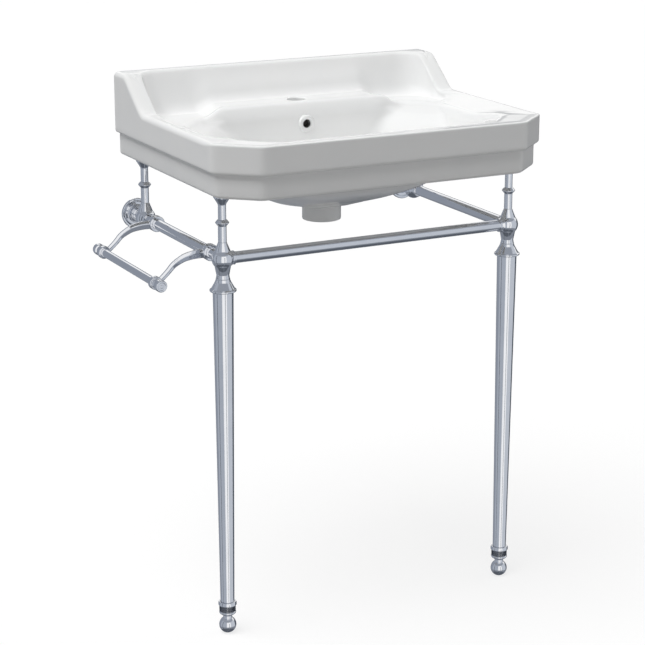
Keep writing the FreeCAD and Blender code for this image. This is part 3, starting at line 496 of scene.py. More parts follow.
def octagon(beside, front_beside, in_front, behind):
    """The eight corners of an outline that is the same on both sides, from its four on the right."""
    left = [(-x, y) for x, y in (beside, front_beside, in_front)]
    return np.array([*left, in_front, front_beside, beside, behind, (-behind[0], behind[1])], float)


def ring_outline(corners, radii, ease=1.5):
    """A rounded outline of eight corners with the same number of points on each side, closer towards the wall."""
    arcs = []
    for i, radius in enumerate(radii):
        shape = corner_shape(corners[i - 1], corners[i], corners[(i + 1) % 8])
        arcs.append(np.array(corner_arc(corners[i], shape, radius, 0.49, ARC_STEPS)[0]))
    outline = []
    for i, count in enumerate(ALONG):
        start, end = arcs[i][-1], arcs[(i + 1) % 8][0]
        share = np.arange(1, count + 1) / (count + 1)
        if i == 0:
            share = share ** ease
        if i == 4:
            share = 1 - (1 - share) ** ease
        outline.extend(arcs[i])
        outline.extend(start + (end - start) * share[:, None])
    return np.array(outline)


def plan(sizes, inset, back_inset=0, front_radius=20, back_radius=3):
    """The plan outline moved in by inset at the sides and front, and by back_inset at the wall."""
    run = math.hypot(sizes.cut_across, sizes.cut_deep)
    side_x = sizes.width / 2 - inset
    side_front = -(sizes.depth - sizes.cut_deep) + inset * (run - sizes.cut_deep) / sizes.cut_across
    front_x = sizes.width / 2 - sizes.cut_across - inset * (run - sizes.cut_across) / sizes.cut_deep
    chamfer = CORNER_SHARE * back_radius
    corners = octagon((side_x, -back_inset - chamfer), (side_x, side_front), (front_x, -sizes.depth + inset),
                      (side_x - chamfer, -back_inset))
    return ring_outline(corners, (back_radius, *[front_radius] * 4, *[back_radius] * 3))


def monotone(x, y, at):
    """A smooth curve through points that never overshoots them."""
    x, y = np.array(x, float), np.array(y, float)
    step = np.diff(x)
    rise = np.diff(y) / step
    slope = np.zeros(len(x))
    slope[0], slope[-1] = rise[0], rise[-1]
    for i in range(1, len(x) - 1):
        if rise[i - 1] * rise[i] > 0:
            slope[i] = 2 / (1 / rise[i - 1] + 1 / rise[i])
    i = np.clip(np.searchsorted(x, at) - 1, 0, len(x) - 2)
    t = (at - x[i]) / step[i]
    return ((1 + 2 * t) * (1 - t) ** 2 * y[i] + t * (1 - t) ** 2 * step[i] * slope[i]
            + t * t * (3 - 2 * t) * y[i + 1] + t * t * (t - 1) * step[i] * slope[i + 1])


def bowl_outline(sizes, fall, grow):
    """The bowl's outline at a share of its drop, moved out by grow."""
    falls, *columns = zip(*BOWL_ROWS)
    side, front, back, cut = (float(monotone(falls, column, fall)) for column in columns)
    reach = BOWL_HALF - (BOWL_HALF - SEAT) * side + grow
    front_y = -(BOWL_FRONT - (BOWL_FRONT - sizes.drain - SEAT) * front + grow)
    back_y = -(BOWL_BACK + (sizes.drain - SEAT - BOWL_BACK) * back - grow)
    corners = octagon((reach, back_y - cut), (reach, front_y + cut), (reach - cut, front_y), (reach - cut, back_y))
    return ring_outline(corners, [cut * 0.45] * 8, 2.4)


def at_height(outline, height):
    return np.column_stack([outline, np.broadcast_to(height, len(outline))])


def wing_top(sizes):
    """The height of the splash and wings by distance from the wall."""
    line = rounded([(0, sizes.crest), (49, sizes.crest, 14), (121, sizes.rim, 35), (260, sizes.rim)])
    line = np.array([p[:2] for p in line])
    return lambda y: np.interp(-np.asarray(y), line[:, 0], line[:, 1])


def blend(plain, raised, share):
    return plain * (1 - share[:, None]) + raised * share[:, None]


def bend(start, knee, end, t):
    return start * (1 - t) ** 2 + knee * 2 * t * (1 - t) + end * t * t


def outward_of(outline):
    """The direction out of a counter-clockwise outline at each of its points."""
    along = np.roll(outline, -1, axis=0) - np.roll(outline, 1, axis=0)
    along /= np.maximum(np.linalg.norm(along, axis=1), 1e-9)[:, None]
    return np.column_stack([along[:, 1], -along[:, 0]])


def outer_rings(sizes, outer, wing, crisp):
    """The skirt, the band and the outer faces of the wings and the splashback, up to the top."""
    rings = []

    def add(outline, height):
        rings.append(at_height(outline, height))

    # The skirt, from its rounded lower edge up to the cove under the band.
    for turn in np.radians((90, 72, 54, 36, 18, 0)):
        turned_in = 1 - math.cos(turn)
        add(plan(sizes, sizes.overhang + 6 * turned_in, 2 * turned_in), sizes.underside + 6 - 6 * math.sin(turn))
    for height in (sizes.underside + 20, sizes.step - 8):
        add(plan(sizes, sizes.overhang), height)
    for turn in np.radians((0, 30, 60, 90)):
        add(plan(sizes, sizes.overhang - 3 * (1 - math.cos(turn))), sizes.step - 3 + 3 * math.sin(turn))
    for turn in np.radians((15, 35, 55, 75, 90)):
        add(plan(sizes, 5 * (1 - math.sin(turn))), sizes.step + 5 - 5 * math.cos(turn))

    # The band: its top edge is soft at the sides and at the wings, and crisp at the wall and at the front.
    at_end = np.maximum(-outer[:, 1] / 8, (np.abs(outer[:, 0]) - sizes.width / 2 + 17) / 12)
    edge = (3 + 5 * np.clip(at_end, 0, 1)) * (1 - crisp) + 3 * crisp
    top_at = wing_top(sizes)
    low = sizes.step + 5
    for share in (0.08, 0.3, 0.5, 0.7, 0.85, 0.95, 1):
        plain = at_height(outer, low + (sizes.rim - edge - low) * share)
        raised = at_height(outer, low + (top_at(outer[:, 1]) - edge - low) * share)
        rings.append(blend(plain, raised, wing))
    for turn in np.radians((15, 30, 45, 60, 75, 90)):
        fall, rise = 1 - math.cos(turn), math.sin(turn)
        outline = blend(plan(sizes, 8 * fall, 3 * fall, 20 - 8 * fall),
                        plan(sizes, 3 * fall, 3 * fall, 20 - 3 * fall), crisp)
        plain = at_height(outline, sizes.rim - edge + edge * rise)
        raised = at_height(outline, top_at(outline[:, 1]) - edge + edge * rise)
        rings.append(blend(plain, raised, wing))
    return rings


def wing_plan(sizes, outer, side_x, back_y, radius):
    """A line inside the wings and the splashback, with its side stations abreast of those of the outer face."""
    chamfer = CORNER_SHARE * radius
    front_y = -sizes.depth + sizes.cut_deep
    corners = octagon((side_x, back_y - chamfer), (side_x, front_y), (170, -400), (side_x - chamfer, back_y))
    line = ring_outline(corners, (radius, 20, 20, 20, 20, radius, radius, radius))
    beside = (np.abs(outer[:, 0]) > sizes.width / 2 - 0.01) & (outer[:, 1] > 22 + front_y)
    apart = (line[:, 1] - outer[:, 1]) * np.clip((190 + outer[:, 1]) / 188, 0, 1)
    line[:, 1] = np.where(beside, outer[:, 1] + apart, line[:, 1])
    return line


def wing_rings(sizes, outer, last):
    """Inside the wings and the splashback: a leaning face with a soft top edge, and a cove at its foot."""
    half, tall = sizes.width / 2, sizes.crest - sizes.rim
    foot_x, crest_x = half - 31, half - 30
    below = sizes.rim - sizes.deck
    lean_x, lean_y = (crest_x - foot_x) / tall, 26 / tall
    crest_line = wing_plan(sizes, outer, crest_x, -21, 42)
    deck_line = wing_plan(sizes, outer, foot_x - below * lean_x, -47 - below * lean_y, 45)
    foot_line = wing_plan(sizes, outer, half - 42, -70, 52)
    top_at = wing_top(sizes)

    def on_face(height):
        share = (height - sizes.deck) / (sizes.crest - sizes.deck)
        return deck_line + (crest_line - deck_line) * share[:, None]

    top = top_at(outer[:, 1])
    corner = on_face(top)
    for _ in range(30):
        top = (top + top_at(corner[:, 1])) / 2
        corner = on_face(top)
    soft = np.minimum(6.5, (top - sizes.deck) * 0.4)
    start = corner + outward_of(corner) * soft[:, None]
    start = at_height(start, top_at(start[:, 1]))
    end = at_height(on_face(top - soft), top - soft)
    cove = sizes.deck + np.minimum(19, (top - soft - sizes.deck) * 0.75)
    rings = []
    for t in (0.25, 0.5, 0.75):
        between = last[:, :2] * (1 - t) + start[:, :2] * t
        rings.append(at_height(between, top_at(between[:, 1])))
    for t in (0, 0.2, 0.4, 0.6, 0.8, 1):
        rings.append(bend(start, at_height(corner, top), end, t))
    for t in (0.25, 0.5, 0.75, 1):
        height = (top - soft) * (1 - t) + cove * t
        rings.append(at_height(on_face(height), height))
    cove_start = rings[-1]
    for t in (0.12, 0.25, 0.38, 0.5, 0.62, 0.75, 0.88, 1):
        rings.append(bend(cove_start, at_height(deck_line, sizes.deck), at_height(foot_line, sizes.deck), t))
    return rings


def basin_rings(sizes):
    """All rings of the skin, and which of them are the deck and bowl, and which the belly."""
    outer = plan(sizes, 0)
    wing = smoothstep(outer[:, 1], -190, -115)
    crisp = smoothstep(-outer[:, 1], 380, 418)
    below, drop = sizes.rim - sizes.deck, sizes.deck - BOWL_FLOOR
    # At the front the deck rises to the rim, which then slopes straight into the bowl.
    lift = (below - 1) * smoothstep(-outer[:, 1], 240, 420)
    rings = outer_rings(sizes, outer, wing, crisp)

    def add(outline, height):
        rings.append(at_height(outline, height))

    raised_rings = wing_rings(sizes, outer, rings[-1])
    for k, raised in enumerate(raised_rings, start=1):
        share = k / len(raised_rings)
        at_side = plan(sizes, 8 + 36 * share, 3, max(12 - 22 * share, 8))
        at_front = plan(sizes, 3 + 13 * share, 3, 17 - 7 * share)
        dish = share ** 1.4 * (1 - 0.12 * share)
        plain = at_height(blend(at_side, at_front, crisp), sizes.rim - (below - lift) * dish)
        rings.append(blend(plain, raised, wing))

    # The deck, the rounded edge of the bowl, and the bowl down to the waste.
    first_deck = len(rings)
    bowl_top = at_height(bowl_outline(sizes, 0, SHELL), sizes.deck + lift)
    last = rings[-1]
    for t in np.linspace(0, 1, 13)[1:]:
        between = last * (1 - t) + bowl_top * t
        between[:, 2] = bowl_top[:, 2] + (last[:, 2] - bowl_top[:, 2]) * (1 - t) ** 2
        rings.append(between)
    for turn in np.radians((18, 36, 54, 72)):
        add(bowl_outline(sizes, 0, SHELL * (1 - math.sin(turn))), sizes.deck + lift - SHELL + SHELL * math.cos(turn))
    for fall in (0.095, 0.12, 0.16, *FALLS):
        level = sizes.deck - drop * fall
        add(bowl_outline(sizes, fall, 0), level + lift * smoothstep(level, 800, 828))
    last_bowl = len(rings)

    # The waste seat, the outlet's bore and the outside of the spigot, in circles.
    floor = sizes.deck - drop
    closing = bowl_outline(sizes, 1, 0)
    angles = np.arctan2(closing[:, 1] + sizes.drain, closing[:, 0])
    seat = ((34.5, 0.4), (33, 0), (32.3, -0.3), (32, -1), (32, -2.5), (31.5, -3), (27, -3), (23.5, -3), (22.7, -3.4),
            (22.5, -4.5), (22.5, -20))
    spigot = ((22.5, 1.5), (22.9, 0.4), (24, 0), (28, 0), (32, 0), (33.5, 0.6), (34, 2), (34, 14))
    joint = ((34, -SHELL - 4), (34.6, -SHELL - 1.6), (36.5, -SHELL - 0.4))
    for base, rows in ((floor, seat), (SPIGOT_END, spigot), (floor, joint)):
        for radius, rise in rows:
            add(np.column_stack([radius * np.cos(angles), radius * np.sin(angles) - sizes.drain]), base + rise)

    def tucked(outline):
        """Keeps the belly behind the inner face of the skirt's front."""
        past = np.maximum(34 - sizes.depth - outline[:, 1], 0)
        outline[:, 1] += past - 7 * (1 - np.exp(-past / 7))
        return outline

    # The belly of the bowl below, the underside of the deck and the inner face of the skirt.
    first_belly = len(rings)
    ceiling = sizes.deck - CEILING_GAP
    for fall in (1, *reversed(FALLS), 0.15, 0.11, 0.08, 0.05, 0.03):
        add(tucked(bowl_outline(sizes, fall, SHELL)), sizes.deck - SHELL - drop * fall)
    add(tucked(bowl_outline(sizes, 0, SHELL + 1.5)), ceiling + 0.4)
    last_belly = len(rings)
    last = tucked(bowl_outline(sizes, 0, SHELL + 4))
    inner_top = plan(sizes, 24, 16, 10, 10)
    for t in (0, 0.2, 0.4, 0.6, 0.8, 1):
        add(last * (1 - t) + inner_top * t, ceiling)
    add(plan(sizes, 22.6, 14.6, 11, 11), ceiling - 1.2)
    for height in (ceiling - 4.5, ceiling - 20, ceiling - 40, sizes.underside + 4):
        add(plan(sizes, 22, 14, 12, 12), height)
    add(plan(sizes, 21.4, 13.4, 12, 12), sizes.underside + 1.4)
    add(plan(sizes, 20, 12, 14, 12), sizes.underside)
    return rings, (first_deck, last_bowl), (first_belly, last_belly)


PASSAGE_KNOTS = np.array([(0, -123, 818), (0, -127, 794), (0, -145, 696), (0, -181.5, 676)], float)
PASSAGE_RADIUS = 21


def near_passage(point):
    """The distance to the overflow's passage, a chain of rounded tubes in the middle plane."""
    nearest = np.full(len(point), 1e9)
    for start, end in zip(PASSAGE_KNOTS, PASSAGE_KNOTS[1:]):
        run = end - start
        t = np.clip(((point - start) @ run) / (run @ run), 0, 1)
        nearest = np.minimum(nearest, np.linalg.norm(point - start - t[:, None] * run, axis=1))
    return nearest - PASSAGE_RADIUS


def soft_min(a, b, k):
    h = np.clip(0.5 + 0.5 * (b - a) / k, 0, 1)
    return b * (1 - h) + a * h - k * h * (1 - h)


def basin_skin(sizes):
    """The basin's points and faces, with the tap ledge raised and the belly drawn out over the passage."""
    rings, (first_deck, last_bowl), (first_belly, last_belly) = basin_rings(sizes)
    grid = np.array(rings)
    for ring in grid[first_deck - 14:last_bowl]:
        x, y, z = ring.T
        reach = np.abs(x) + 12 * smoothstep(y, -128, -100)
        ledge = smoothstep(y, -142, -134) * smoothstep(-reach, -sizes.ledge_half - 26, -sizes.ledge_half + 10)
        ledge = ledge * np.clip((897 - z) / 42, 0, 1) * smoothstep(z, sizes.deck - 24, sizes.deck - 6)
        ring[:, 2] += sizes.ledge_rise * ledge
    for ring in grid[first_belly:last_belly]:
        down = 1.4 * smoothstep(-ring[:, 2], -775, -700)
        way = np.column_stack([np.zeros(len(down)), np.ones(len(down)), -down]) / np.hypot(1, down)[:, None]
        away = np.zeros(len(ring))
        for _ in range(40):
            away = np.clip(away - soft_min(away, near_passage(ring + way * away[:, None]), 12), 0, 45)
        behind = (near_passage(ring) < 14) & (ring[:, 1] > -sizes.drain)
        ring += way * (away * behind)[:, None]
    edge = grid[last_belly - 1]
    near = (np.abs(edge[:, 0]) < 40) & (edge[:, 1] > -sizes.drain)
    for ring, gap in zip(grid[last_belly:], (2.5, 5)):
        ring[:, 1] = np.where(near, np.maximum(ring[:, 1], edge[:, 1] + gap), ring[:, 1])
    numbers = np.arange(grid.shape[0] * grid.shape[1]).reshape(grid.shape[:2]).tolist()
    return grid.reshape(-1, 3), bridge(numbers, True)


def passage_end():
    """The overflow's passage where it leaves the bowl's back and runs into the spigot, flat towards the bowl."""
    turns = np.linspace(0, 2 * math.pi, 48, endpoint=False)
    # height, middle, radius, and the depth from the wall where it is flat
    levels = ((712, -142.5, 20, -152), (702, -144, 20.6, -156), (694, -146, 21.2, -163), (686, -149, 20.6, -168),
              (678, -153, 18.6, -169), (671, -157, 15.8, -169), (665, -161, 12.4, -169), (660, -164.5, 9, -169),
              (657.5, -166.5, 6, -169))
    return capped([np.column_stack([radius * np.sin(turns), np.maximum(middle + radius * np.cos(turns), flat),
                                    np.full(len(turns), height)]) for height, middle, radius, flat in levels])


def cut_hole(piece, profile, centre, axis, material):
    """Cuts a turned shape out of a piece; the cut faces take the cutter's material."""
    points, faces = lathe(profile, centre, axis, steps=64)
    cutter = new_object("cutter", to_metres(points), faces, material)
    cut = piece.modifiers.new("cut", "BOOLEAN")
    cut.operation, cut.solver, cut.object, cut.material_mode = "DIFFERENCE", "EXACT", cutter, "TRANSFER"
    make_plain(piece, cut)
    bpy.data.objects.remove(cutter)


SIDES = {"left": -1, "right": 1}
TO_WALL, FORWARD = (0, 1, 0), (0, -1, 0)


class CONSOLE_OT_basin(bpy.types.Operator):
    """Casts the basin: band, skirt, splashback, wings, tap ledge, bowl, belly and holes"""

    bl_idname = "console_sink.basin"
    bl_label = "Glazed basin"

    def execute(self, context):
        sizes = in_mm(context.scene.console_basin)
        stand = in_mm(context.scene.console_stand)
        glaze = finish_for("glaze")
        points, faces = basin_skin(sizes)
        basin = new_object("glazed_basin", to_metres(points), faces, glaze)
        cut_hole(basin, [(0, 812), (16, 812), (16, 849.6, 0), (16.2, 850.4, 0), (16.7, 850.9, 0), (17.4, 851.2, 0),
                         (18.6, 851.6, 0), (18.6, 870), (0, 870)], (0, -sizes.tap, 0), (0, 0, 1), glaze)
        for sign in SIDES.values():
            cut_hole(basin, [(0, -2), (9, -2), (7.6, 0.3, 0), (7, 1.2, 0), (7, 30), (0, 30)],
                     (sign * 140, 0, sizes.bolts), FORWARD, glaze)
        # The overflow hole's cut faces take the throat's dark grey, which is painted shade inside the hole.
        cut_hole(basin, [(0, 124), (7.4, 124), (7.4, 155), (0, 155)], (0, 0, sizes.overflow), FORWARD,
                 finish_for("throat"))
        finish_piece(basin, "glaze", nodes=["basin"], crease=50)
        if len(basin.data.polygons) < len(faces) * 0.95:
            raise RuntimeError("the basin lost faces when its holes were cut")

        lands = [lathe([(0, 0.05), (21.5, 0.05, 1.5), (23, 4, 0), (23, 70), (0, 70)],
                       (sign * stand.spacing, -depth, sizes.underside), steps=64)
                 for sign in SIDES.values() for depth in (stand.rear, stand.front)]
        add_piece("support_lands", lands, "glaze")
        add_piece("overflow_passage", [passage_end()], "glaze")
        ring = lathe([(7.4, 127), (14.4, 127), (15.5, 128.5, 0), (15.5, 138.6, 2.2), (14, 141.6, 1.6),
                      (9.4, 141.6, 1.8), (7.4, 139, 1.2)], (0, 0, sizes.overflow), FORWARD, closed=True, steps=64)
        add_piece("overflow_ring", [ring], "glaze")
        return {"FINISHED"}


# The stand. A tube's wall is 1.5 mm thick.

WALL = 1.5
ENDS = (("front", -1), ("rear", 1))


def tube(radius, start, end, centre, axis, last_radius=None, steps=96):
    """A tube that may taper, from start to end along an axis through centre."""
    last_radius = last_radius or radius
    return lathe([(radius - WALL, start), (radius, start), (last_radius, end), (last_radius - WALL, end)],
                 centre, axis, closed=True, steps=steps)


class CONSOLE_OT_legs(bpy.types.Operator):
    """Turns the two tapered leg tubes"""

    bl_idname = "console_sink.legs"
    bl_label = "Tapered legs"

    def execute(self, context):
        s = in_mm(context.scene.console_stand)
        for side, sign in SIDES.items():
            leg = tube(s.leg_tip_radius, s.leg_tip, s.leg_top, (sign * s.spacing, -s.front, 0), (0, 0, 1),
                       s.leg_top_radius, steps=128)
            add_piece(f"{side}_leg", [leg], nodes=[f"{side}_leg_tube"])
        return {"FINISHED"}


def socket(centre, direction):
    """The turned collar that a rail enters, blended into the ball."""
    return lathe([(9.5, 11.5), (13.6, 11.5), (11.9, 14.2, 1.6), (11, 16.6, 0.8), (11, 18, 0.4), (11.6, 18.5, 0.4),
                  (11.6, 19.5, 0.4), (10.9, 20, 0.2), (9.6, 20, 0.2)], centre, direction, closed=True)


class CONSOLE_OT_fittings(bpy.types.Operator):
    """Turns the corner fittings: ring, neck, ball and cone in front, ball, cone and wall spigot behind"""

    bl_idname = "console_sink.fittings"
    bl_label = "Corner fittings"

    def execute(self, context):
        s = in_mm(context.scene.console_stand)
        head = [*arc((0, 0), s.ball_radius, -42.4, 42.4, 30), (12.4, 14.4, 1), (7, 28, 0.6), (0, 28)]
        below = arc((0, 0), s.ball_radius, -90, -45, 20)
        for side, sign in SIDES.items():
            centre = (sign * s.spacing, -s.front, s.rail)
            post = lathe([(0, -66), (15.4, -66), (15.4, -54), (21, -54, 0.6), (22, -53, 0.8), (22, -51, 1),
                          (19.6, -49.4, 1.2), (13.2, -38, 4), (11.6, -33.6, 1), (11.9, -33, 0.3), (11.4, -32.2, 0.5),
                          (10.5, -27, 6), *head], centre, steps=128)
            add_piece(f"front_{side}_corner", [post, socket(centre, (-sign, 0, 0)), socket(centre, TO_WALL)],
                      nodes=[f"front_{side}_fitting"])
            centre = (sign * s.spacing, -s.rear, s.rail)
            post = lathe([(0, -s.ball_radius), *below[1:], *head], centre, steps=128)
            spigot = lathe([(0, 5), (14.2, 10, 1), (12.4, 14, 3), (11, 17, 2), (11, s.rear - 0.3), (0, s.rear - 0.3)],
                           centre, TO_WALL)
            add_piece(f"rear_{side}_corner", [post, spigot, socket(centre, FORWARD)], nodes=[f"rear_{side}_fitting"])
            flange = lathe([(11, 0), (27, 0), (27, 4, 0.8), (26.2, 5, 1.2), (23.4, 5, 1.2), (20.5, 2.6, 2),
                            (15.6, 2.6, 2), (13.4, 9.8, 1), (12.6, 11, 0.8), (11, 11)],
                           (sign * s.spacing, 0, s.rail), FORWARD, closed=True, steps=128)
            add_piece(f"{side}_wall_rose", [flange], nodes=[f"{side}_wall_flange"])
        return {"FINISHED"}


class CONSOLE_OT_rails(bpy.types.Operator):
    """Draws the front rail and the two side rails"""

    bl_idname = "console_sink.rails"
    bl_label = "Rails"

    def execute(self, context):
        s = in_mm(context.scene.console_stand)
        gap = s.rail_radius + 1
        rails = [("front_rail_tube", -1, (1, 0, 0), 2 * s.spacing, "front_rail")]
        rails += [(f"{side}_rail_tube", sign, TO_WALL, s.front - s.rear, f"{side}_side_rail")
                  for side, sign in SIDES.items()]
        for name, sign, direction, span, node in rails:
            rail = tube(s.rail_radius, gap, span - gap, (sign * s.spacing, -s.front, s.rail), direction)
            add_piece(name, [rail], nodes=[node])
        return {"FINISHED"}


class CONSOLE_OT_supports(bpy.types.Operator):
    """Turns the four basin supports: stem with a bead, flared cap, and a rubber pad under the basin"""

    bl_idname = "console_sink.supports"
    bl_label = "Basin supports"

    def execute(self, context):
        s = in_mm(context.scene.console_stand)
        for row, depth in (("front", s.front), ("rear", s.rear)):
            for side, sign in SIDES.items():
                centre = (sign * s.spacing, -depth, s.rail)
                name = f"{row}_{side}_support"
                stem = lathe([(4, 28), (7, 28), (7, 54.4, 0.8), (8.4, 56, 0.6), (11.7, 60, 1.4), (8.4, 64, 0.6),
                              (7.2, 65, 0.3), (4, 65)], centre, closed=True)
                add_piece(f"{name}_post", [stem], nodes=[f"{name}_stem"])
                cap = lathe([(0, 99), (4, 99), (4, 65), (6.6, 65), (6.6, 90, 8), (12.8, 100, 1.6), (14, 101.4, 0.8),
                             (14, 104.4, 0.6), (12.6, 105, 0.4), (0, 105)], centre)
                add_piece(f"{name}_flare", [cap], nodes=[f"{name}_cap"])
                pad = lathe([(0, 105), (11.4, 105, 0.5), *arc((10.8, 106.5), 1.35, -60, 60, 9), (11.4, 108, 0.5),
                             (0, 108)], centre, steps=64)
                add_piece(f"{name}_rubber", [pad], "rubber", nodes=[f"{name}_pad"])
        return {"FINISHED"}


def geometry_tree(name, inputs):
    """A tree that makes geometry, with named inputs: a number to start from, or the kind of socket as a word."""
    tree = bpy.data.node_groups.new(name, "GeometryNodeTree")
    tree.interface.new_socket("Geometry", in_out="OUTPUT", socket_type="NodeSocketGeometry")
    for label, start in inputs.items():
        kind = start if isinstance(start, str) else type(start).__name__.capitalize()
        item = tree.interface.new_socket(label, in_out="INPUT", socket_type=f"NodeSocket{kind}")
        if kind != start:
            item.default_value = start
    add = adder(tree)
    return tree, add, add("NodeGroupInput").outputs


def finish_copies(add, copies, finish):
    """Ends a tree: its copies are made real and take their material."""
    real = add("GeometryNodeRealizeInstances", {"Geometry": copies})
    painted = add("GeometryNodeSetMaterial", {"Geometry": real, "Material": finish})
    add("NodeGroupOutput", {"Geometry": painted})


def knurl_tree():
    """Points of a rolled diamond knurl: rows of small pyramids round a collar, every second row half a step on."""
    tree, add, given = geometry_tree("rolled_knurl", {
        "Columns": 54, "Rows": 8, "Radius": 0.01352, "Base": 0.0, "Pitch": 0.0012, "Width": 0.00086, "Rise": 0.0005,
        "Across": 0.0, "Forward": 0.0, "Finish": "Material"})

    def work(kind, *values):
        return add("ShaderNodeMath", dict(enumerate(values)), operation=kind)

    dots = add("GeometryNodePoints", {"Count": work("MULTIPLY", given["Columns"], given["Rows"])})
    index = add("GeometryNodeInputIndex")
    row = work("FLOOR", work("DIVIDE", index, given["Columns"]))
    column = work("ADD", index, work("MULTIPLY", row, 0.5))
    turn = work("MULTIPLY", work("DIVIDE", column, given["Columns"]), 2 * math.pi)
    east, north = work("COSINE", turn), work("SINE", turn)
    spot = add("ShaderNodeCombineXYZ", {
        "X": work("ADD", work("MULTIPLY", east, given["Radius"]), given["Across"]),
        "Y": work("ADD", work("MULTIPLY", north, given["Radius"]), given["Forward"]),
        "Z": work("ADD", given["Base"], work("MULTIPLY", row, given["Pitch"]))})
    placed = add("GeometryNodeSetPosition", {"Geometry": dots, "Position": spot})
    tooth = add("GeometryNodeMeshCone", {"Vertices": 4, "Radius Top": 0.0, "Radius Bottom": given["Width"],
                                         "Depth": given["Rise"]})
    facing = add("ShaderNodeCombineXYZ", {"X": east, "Y": north, "Z": 0.0})
    lean = add("FunctionNodeAlignRotationToVector", {"Vector": facing}, axis="Z")
    finish_copies(add, add("GeometryNodeInstanceOnPoints", {"Points": placed, "Instance": tooth, "Rotation": lean}),
                  given["Finish"])
    return tree


def grub_screw_tree():
    """Grub screws with a hexagon socket, one at each point of the mesh, heads upwards."""
    tree, add, given = geometry_tree("hexagon_grub_screws", {
        "Geometry": "Geometry", "Radius": 0.00195, "Length": 0.003, "Key Radius": 0.00115, "Key Depth": 0.0015,
        "Finish": "Material"})
    shank = add("GeometryNodeMeshCylinder", {"Vertices": 32, "Radius": given["Radius"], "Depth": given["Length"]})
    key = add("GeometryNodeMeshCylinder", {"Vertices": 6, "Radius": given["Key Radius"], "Depth": given["Key Depth"]})
    low = add("ShaderNodeMath", {0: given["Length"], 1: -0.5}, operation="MULTIPLY")
    lowered = add("GeometryNodeTransform", {"Geometry": key, "Translation": add("ShaderNodeCombineXYZ", {"Z": low})})
    screw = add("GeometryNodeMeshBoolean", {"Mesh 1": shank, "Mesh 2": lowered}, operation="DIFFERENCE")
    finish_copies(add, add("GeometryNodeInstanceOnPoints", {"Points": given["Geometry"], "Instance": screw}),
                  given["Finish"])
    return tree


def grow_piece(name, tree, values, spots=()):
    """Runs a node tree on points, and returns its result as a plain mesh."""
    piece = new_object(name, to_metres(spots) if spots else [])
    grow = piece.modifiers.new("grow", "NODES")
    grow.node_group = tree
    for item in tree.interface.items_tree:
        if item.in_out == "INPUT" and item.name in values:
            grow[item.identifier] = values[item.name]
    make_plain(piece, grow)
    return piece


class CONSOLE_OT_feet(bpy.types.Operator):
    """Turns the two levelling feet: knurled collar, neck and ball"""

    bl_idname = "console_sink.feet"
    bl_label = "Levelling feet"

    def execute(self, context):
        group = context.scene.console_stand
        s = in_mm(group)
        tree = knurl_tree()
        for side, sign in SIDES.items():
            centre = (sign * s.spacing, -s.front, 0)
            body = f"{side}_foot"
            collar = lathe([(4.2, 31), (7.5, 31, 0.2), (13.2, 35, 1.2), (14.3, 36.6, 0.6), (14.3, 38.4, 0.5),
                            (13.4, 39.3, 0.2), (13.4, 49.2, 0.2), (14.6, 50, 0.4), (15.5, 51, 0.5), (15.5, 54.6, 0.9),
                            (14.2, 57, 0.7), (12.3, 57, 0.4), (12.3, 42), (4.2, 42)], centre, closed=True, steps=128)
            add_piece(f"{side}_foot_cup", [collar], body=body, nodes=[f"{side}_foot_collar"])
            low = math.degrees(math.acos((s.foot_radius - 0.4) / s.foot_radius))
            ball = arc((0, s.foot_radius - 0.4), s.foot_radius, -90 + low, 57, 44)
            foot = lathe([(0, 0), *ball, (7.7, 27.8, 0.8), (7.5, 31), (0, 31)], centre, steps=128)
            add_piece(f"{side}_foot_knob", [foot], body=body, nodes=[f"{side}_foot_ball"])
            teeth = grow_piece(f"{side}_foot_knurl", tree, {
                "Columns": group.knurl_columns, "Rows": group.knurl_rows, "Base": FLOOR + 0.0401,
                "Across": sign * group.spacing, "Forward": -group.front, "Finish": finish_for("knurled_chrome")})
            finish_piece(teeth, "knurled_chrome", body, crease=20)
        return {"FINISHED"}


class CONSOLE_OT_grub_screws(bpy.types.Operator):
    """Sets the grub screws under the rails and in the towel holder's collars"""

    bl_idname = "console_sink.grub_screws"
    bl_label = "Grub screws"

    def execute(self, context):
        s, towel = in_mm(context.scene.console_stand), in_mm(context.scene.console_towel)
        under_rail = s.rail - s.rail_radius
        # A rail's screw stands 13 mm from the middle of its ball, and ends at the ball's skin.
        inset = 13
        span = math.sqrt(s.ball_radius ** 2 - inset ** 2) - s.rail_radius
        places = []
        for sign in SIDES.values():
            places += [(sign * (s.spacing - inset), -s.front), (sign * s.spacing, -s.front + inset),
                       (sign * s.spacing, -s.rear - inset)]
        middle = -(s.front + s.rear) / 2
        arms = [(-s.spacing, middle + k * towel.spread / 2) for k in (-1, 1)]
        tree = grub_screw_tree()
        for name, spots, length, height, body in (
                ("rail", places, span - 0.05, under_rail - span / 2, "stand"),
                ("arm", arms, 3.9, under_rail - 0.05 - 3.9 / 2, "towel_holder")):
            screws = grow_piece(f"{name}_grubs", tree, {"Length": length / 1000, "Finish": finish_for("steel")},
                                [(x, y, height) for x, y in spots])
            finish_piece(screws, "steel", body, [f"{name}_grub_screws"], 30)
        return {"FINISHED"}


def swept_arm(path, y):
    """Sweeps the arm's section along a path in the upright plane at y; it thins towards the bar."""
    along = np.gradient(path, axis=0)
    along /= np.linalg.norm(along, axis=1)[:, None]
    rings = []
    for share, (x, z), (dx, dz) in zip(np.linspace(0, 1, len(path)), path, along):
        section = ridged_section(15 - 5.5 * float(smoothstep(share, 0.05, 0.9)), 7 - 0.8 * share)
        rings.append([(x + dz * up, y + out, z - dx * up) for out, up in section])
    return capped(rings)


